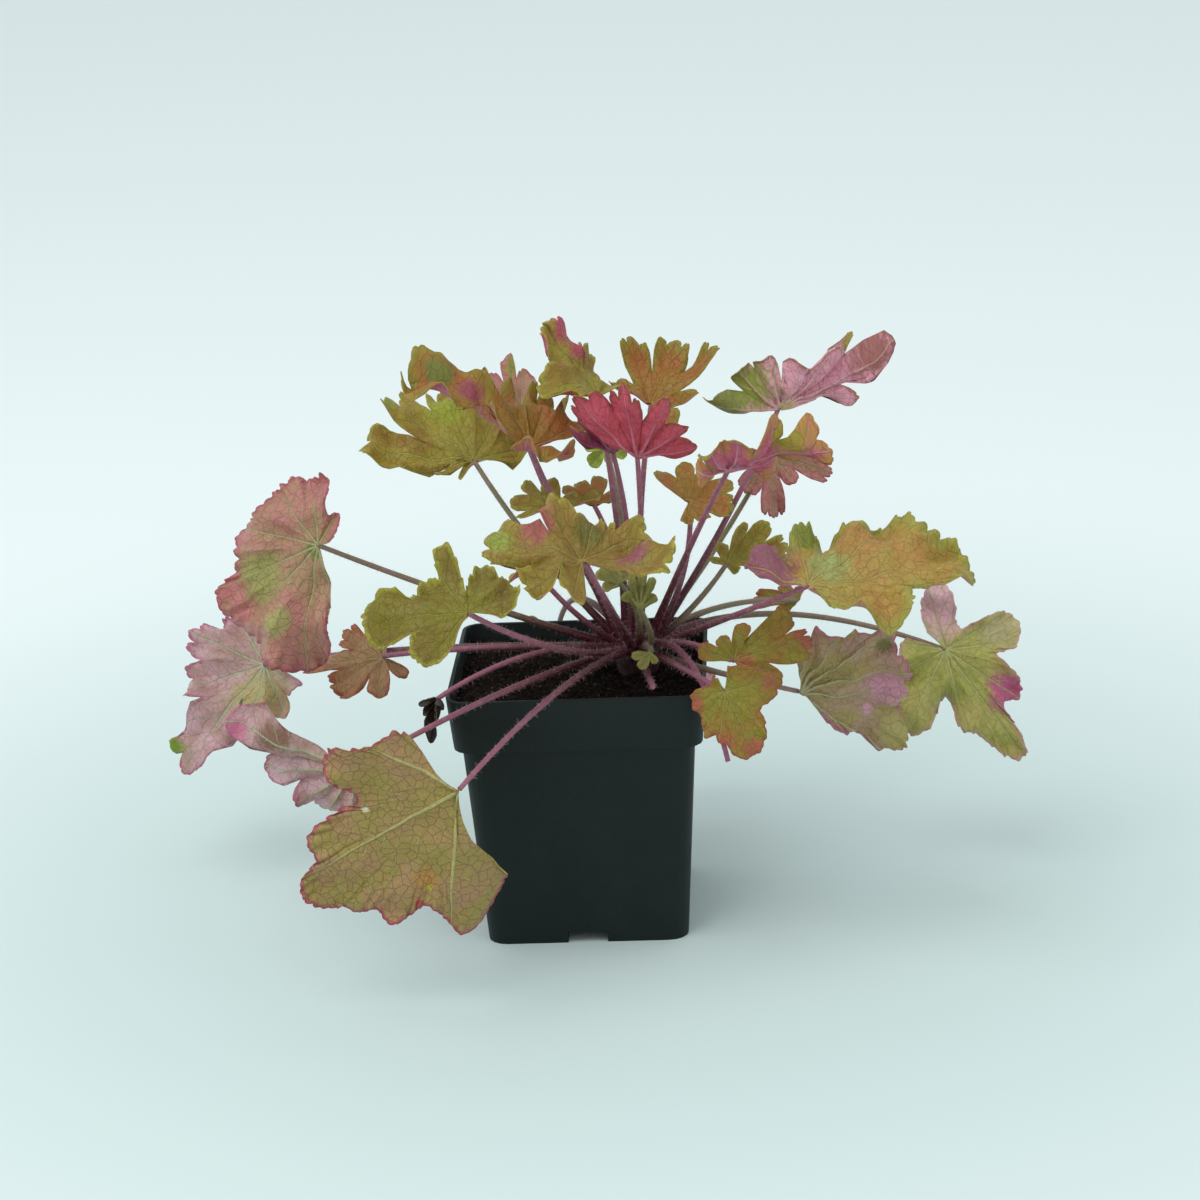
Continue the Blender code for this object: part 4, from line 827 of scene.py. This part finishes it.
stalkLook = dict(foot=(20, 8, 95), spread=4.5, steps=26, sides=10, flare=2.3, low=1.3, tip=0.85, taper=9,
                 knots=0.07, sink=0.6, green=0.1, wineAndShade="4c0c20", mauve="96506a", grass="78764e", wax="b08494",
                 mauveRange=(0.22, 0.8), grassRange=(0.12, 0.5), bloomRange=(0.1, 0.7), bloom=0.4,
                 streaks=(420, 4, 0.6), streakRange=(0.45, 0.75), pores=(1400, 3), bump=(0.4, 0.2),
                 shader={"Roughness": 0.5, "Subsurface Weight": 0.1, "Subsurface Scale": mm})
greenStalks = dict(back_left=0.9, left_high=0.7, right_pink=0.6, right_back=0.9, young_upright=1, young_low=1,
                   centre_small=1, right_olive=0.8, centre_lime=0.9, right_small=0.8, back_low=0.6,
                   right_far=0.7)
bareStalks = [((24, -16, 93.5), (27, -44, 97.5)), ((42, -40, 101), (52, -56, 74))]


def stalkRoute(via, end, look):  # a bow from the crown past one point to the end
    via, end = Vector(via), Vector(end)
    middle = Vector(look["foot"])
    lean = Vector((via.x - middle.x, via.y - middle.y, 0)).normalized()
    start = middle + lean * look["spread"]
    bend = (via - start).length / ((via - start).length + (end - via).length)
    made = []
    for number in range(look["steps"] + 1):
        t = number / look["steps"]
        near = (t - bend) * (t - 1) / bend
        mid = t * (t - 1) / (bend * (bend - 1))
        far = t * (t - bend) / (1 - bend)
        made.append(start * near + via * mid + end * far)
    return made


def stalkMaterial(look):
    made, tree, where = newMaterial("leaf_stalk_skin")
    along = attribute(tree, "alongStalk")
    # Darker wine towards the crown: partly the stalks' own colour, partly painted shade under the leaves.
    colour = blend(tree, ramp(tree, along, *look["mauveRange"]), look["wineAndShade"], look["mauve"])
    green = times(tree, ramp(tree, along, *look["grassRange"]), attribute(tree, "fresh"))
    colour = blend(tree, green, colour, look["grass"])
    bloom = times(tree, patches(tree, where, look["streaks"], look["streakRange"]),
                  ramp(tree, along, *look["bloomRange"]))
    colour = blend(tree, times(tree, bloom, look["bloom"]), colour, look["wax"])
    return finish(made, look, {"Base Color": colour}, grain(tree, where, *look["pores"]))


def stalkTree(look):
    tree, given = geometryTree("leaf stalks", {"Sides": ("Int", 10)})
    lines = node(tree, "GeometryNodeMeshToCurve", {0: given["Geometry"]}).outputs[0]
    thick = node(tree, "GeometryNodeInputNamedAttribute", {"Name": "thick"}, data_type="FLOAT").outputs[0]
    ring = node(tree, "GeometryNodeCurvePrimitiveCircle", {"Resolution": given["Sides"], "Radius": 1.0})
    values = {0: lines, 1: ring.outputs[0], "Scale": thick, "Fill Caps": True}
    tubes = node(tree, "GeometryNodeCurveToMesh", values)
    closeTree(tree, tubes.outputs[0], stalkMaterial(look))
    return tree


def stalkLines(look):  # centre lines of all stalks with their thickness, as loose edges
    points, edges, thick, along, fresh = [], [], [], [], []
    ways = []
    for name, spec in leaves.items():
        face = Vector(bladeFrame(spec)[2])
        hinge = Vector(spec["hinge"])
        side = math.copysign(1, (hinge - Vector(spec["via"])).dot(face))
        ways.append((spec["via"], hinge - face * side * look["sink"], greenStalks.get(name, look["green"])))
    ways += [(via, end, 0) for via, end in bareStalks]
    for number, (via, end, green) in enumerate(ways):
        for step, place in enumerate(stalkRoute(via, end, look)):
            share = step / look["steps"]
            flare = (look["flare"] - look["low"]) * math.exp(-share * look["taper"])
            width = look["low"] + (look["tip"] - look["low"]) * share + flare
            width *= 1 + look["knots"] * noise.noise(Vector((share * 9, number, 0)))
            if step:
                edges.append((len(points) - 1, len(points)))
            points.append(place * mm)
            thick.append(width * mm)
            along.append(share)
            fresh.append(green)
    mesh = bpy.data.meshes.new("stalk lines")
    mesh.from_pydata(points, edges, [])
    for name, values in (("thick", thick), ("alongStalk", along), ("fresh", fresh)):
        addValues(mesh, name, values)
    return mesh


# The knobbly woody base that the stalks come out of

crownLook = dict(radius=7.4, low=70, high=98.5, segments=(40, 24), knobs=0.16, knobPitch=2.6, square=0.75,
                 bark="2e1719", scale="5a3038", flakes=(330, 5, 0.7, 0.5), flakeRange=(0.4, 0.65),
                 rough=(500, 5, 0.7), bump=(0.8, 0.8), shader={"Roughness": 0.85})


def crownMesh(look, foot):
    work = bmesh.new()
    around, up = look["segments"]
    bmesh.ops.create_uvsphere(work, u_segments=around, v_segments=up, radius=1)
    tall = (look["high"] - look["low"]) / 2
    for vert in work.verts:
        spread = 1 + look["knobs"] * noise.noise(vert.co * look["knobPitch"])
        square = math.copysign(abs(vert.co.z) ** look["square"], vert.co.z)
        vert.co = Vector((vert.co.x * look["radius"] * spread, vert.co.y * look["radius"] * spread,
                          look["low"] + tall + square * tall)) + Vector((foot[0], foot[1], 0))
        vert.co *= mm
    mesh = bpy.data.meshes.new("crown")
    work.to_mesh(mesh)
    work.free()
    return mesh


def crownMaterial(look):
    made, tree, where = newMaterial("crown_bark")
    flakes = patches(tree, where, look["flakes"], look["flakeRange"])
    colour = blend(tree, flakes, look["bark"], look["scale"])
    return finish(made, look, {"Base Color": colour}, grain(tree, where, *look["rough"]))


def makeStalks(look):
    stalks = newObject("leaf_stalks", stalkLines(look))
    stalks.data = grown(stalks, stalkTree(look), {"Sides": look["sides"]})
    crown = newObject("crown", crownMesh(crownLook, look["foot"]), crownMaterial(crownLook))
    for piece in (stalks, crown):
        piece.data.shade_smooth()
        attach(piece, "root")
        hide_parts("crown_with_stalks")
    print("stalks", len(stalks.data.polygons), "faces")
    return stalks


# Fine hairs stand on the stalks

hairLook = dict(perArea=0.55, length=1.5, radius=0.045, seed=11, tilt=((-0.5, -0.5, 0), (0.5, 0.5, 6)),
                tiltSeed=3, sizes=((0.8, 0.8, 0.4), (1.2, 1.2, 1.2)), sizeSeed=5,
                colour="d9c4bc", shade="b78c92", shades=(300, 2), shader={"Roughness": 0.6})


def hairMaterial(look):
    made, tree, where = newMaterial("stalk_hair")
    colour = blend(tree, grain(tree, where, *look["shades"]), look["colour"], look["shade"])
    return finish(made, look, {"Base Color": colour})


def hairTree(look):
    tree, given = geometryTree("stalk hairs", {"Density": ("Float", 1.0), "Length": ("Float", 0.001),
                                               "Radius": ("Float", 0.0001), "Seed": ("Int", 0)})
    points = node(tree, "GeometryNodeDistributePointsOnFaces",
                  {"Mesh": given["Geometry"], "Density": given["Density"], "Seed": given["Seed"]}).outputs
    sizes = {"Vertices": 3, "Radius Top": 0.0, "Radius Bottom": given["Radius"], "Depth": given["Length"]}
    hair = node(tree, "GeometryNodeMeshCone", sizes, fill_type="NONE").outputs[0]
    tilt = randomValue(tree, *look["tilt"], look["tiltSeed"], "FLOAT_VECTOR")
    turned = node(tree, "FunctionNodeRotateRotation", {0: points["Rotation"], 1: tilt},
                  rotation_space="LOCAL").outputs[0]
    tall = randomValue(tree, *look["sizes"], look["sizeSeed"], "FLOAT_VECTOR")
    copies = node(tree, "GeometryNodeInstanceOnPoints",
                  {"Points": points["Points"], "Instance": hair, "Rotation": turned, "Scale": tall})
    closeTree(tree, copies.outputs[0], hairMaterial(look))
    return tree


def makeHairs(look, stalks):
    hairs = newObject("stalk_hairs", stalks.data.copy())
    values = {"Density": look["perArea"] * 1e6, "Length": look["length"] * mm, "Radius": look["radius"] * mm,
              "Seed": look["seed"]}
    hairs.data = grown(hairs, hairTree(look), values)
    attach(hairs, "root")
    print("hairs", len(hairs.data.polygons), "faces")


makeHairs(hairLook, makeStalks(stalkLook))


# Floor, light and the camera at the photograph's angle

# The floor's near tint is painted shade round the pot, easing out to the lighter far tint further away.
stageLook = dict(near="cedddb", far="f1f6f6", shadeFade=(0.12, 0.6), width=12000, clouds=(3, 2), cloudShare=0.05,
                 shader={"Roughness": 0.9, "Specular IOR Level": 0.2}, sky="e9f4f5", skyPower=0.88,
                 lampSize=1400, lampAim=(0, 0, 110),  # a lamp's name, power and place
                 lamps=(("soft_key", 15, (-700, -700, 1700)), ("soft_fill", 2, (1500, -1200, 700))))
viewLook = dict(turn=3, height=17.4, roll=2.7, aim=(8, 0, 115.5), away=1200, lens=101.88, sensor=36)


def makeStage(look):
    half = look["width"] * mm / 2
    mesh = bpy.data.meshes.new("floor")
    corners = [(-half, -half, 0), (half, -half, 0), (half, half, 0), (-half, half, 0)]
    mesh.from_pydata(corners, [], [(0, 1, 2, 3)])
    made, tree, where = newMaterial("pale_floor")
    # Painted shade: the floor is darker near the pot and lightens towards the far tint further out.
    away = ramp(tree, vectors(tree, "LENGTH", where, output="Value"), *look["shadeFade"])
    faint = times(tree, grain(tree, where, *look["clouds"]), look["cloudShare"])
    colour = blend(tree, faint, blend(tree, away, look["near"], look["far"]), "ffffff")
    newObject("floor", mesh, finish(made, look, {"Base Color": colour}))
    world = bpy.data.worlds.new("studio")
    world.use_nodes = True
    feed(world.node_tree, world.node_tree.nodes["Background"],
         {"Color": tint(look["sky"]), "Strength": look["skyPower"]})
    bpy.context.scene.world = world
    bpy.context.scene.view_settings.view_transform = "Standard"
    for name, power, place in look["lamps"]:
        lamp = bpy.data.lights.new(name, "AREA")
        lamp.energy = power
        lamp.size = look["lampSize"] * mm
        light = bpy.data.objects.new(name, lamp)
        light.location = Vector(place) * mm
        light.rotation_euler = (Vector(look["lampAim"]) - Vector(place)).to_track_quat("-Z", "Y").to_euler()
        bpy.context.scene.collection.objects.link(light)


def makeCamera(look):
    turn, height, roll = (math.radians(look[key]) for key in ("turn", "height", "roll"))
    back = Vector((math.sin(turn) * math.cos(height), -math.cos(turn) * math.cos(height), math.sin(height)))
    right = Vector((math.cos(turn), math.sin(turn), 0))
    up = back.cross(right)
    across = right * math.cos(roll) - up * math.sin(roll)
    upright = right * math.sin(roll) + up * math.cos(roll)
    lens = bpy.data.cameras.new("camera")
    lens.lens = look["lens"]
    lens.sensor_width = look["sensor"]
    lens.clip_end = 50
    camera = bpy.data.objects.new("camera", lens)
    camera.matrix_world = Matrix((across, upright, back)).transposed().to_4x4()
    camera.location = Vector(look["aim"]) * mm + back * look["away"] * mm
    bpy.context.scene.collection.objects.link(camera)
    bpy.context.scene.camera = camera


makeStage(stageLook)
makeCamera(viewLook)
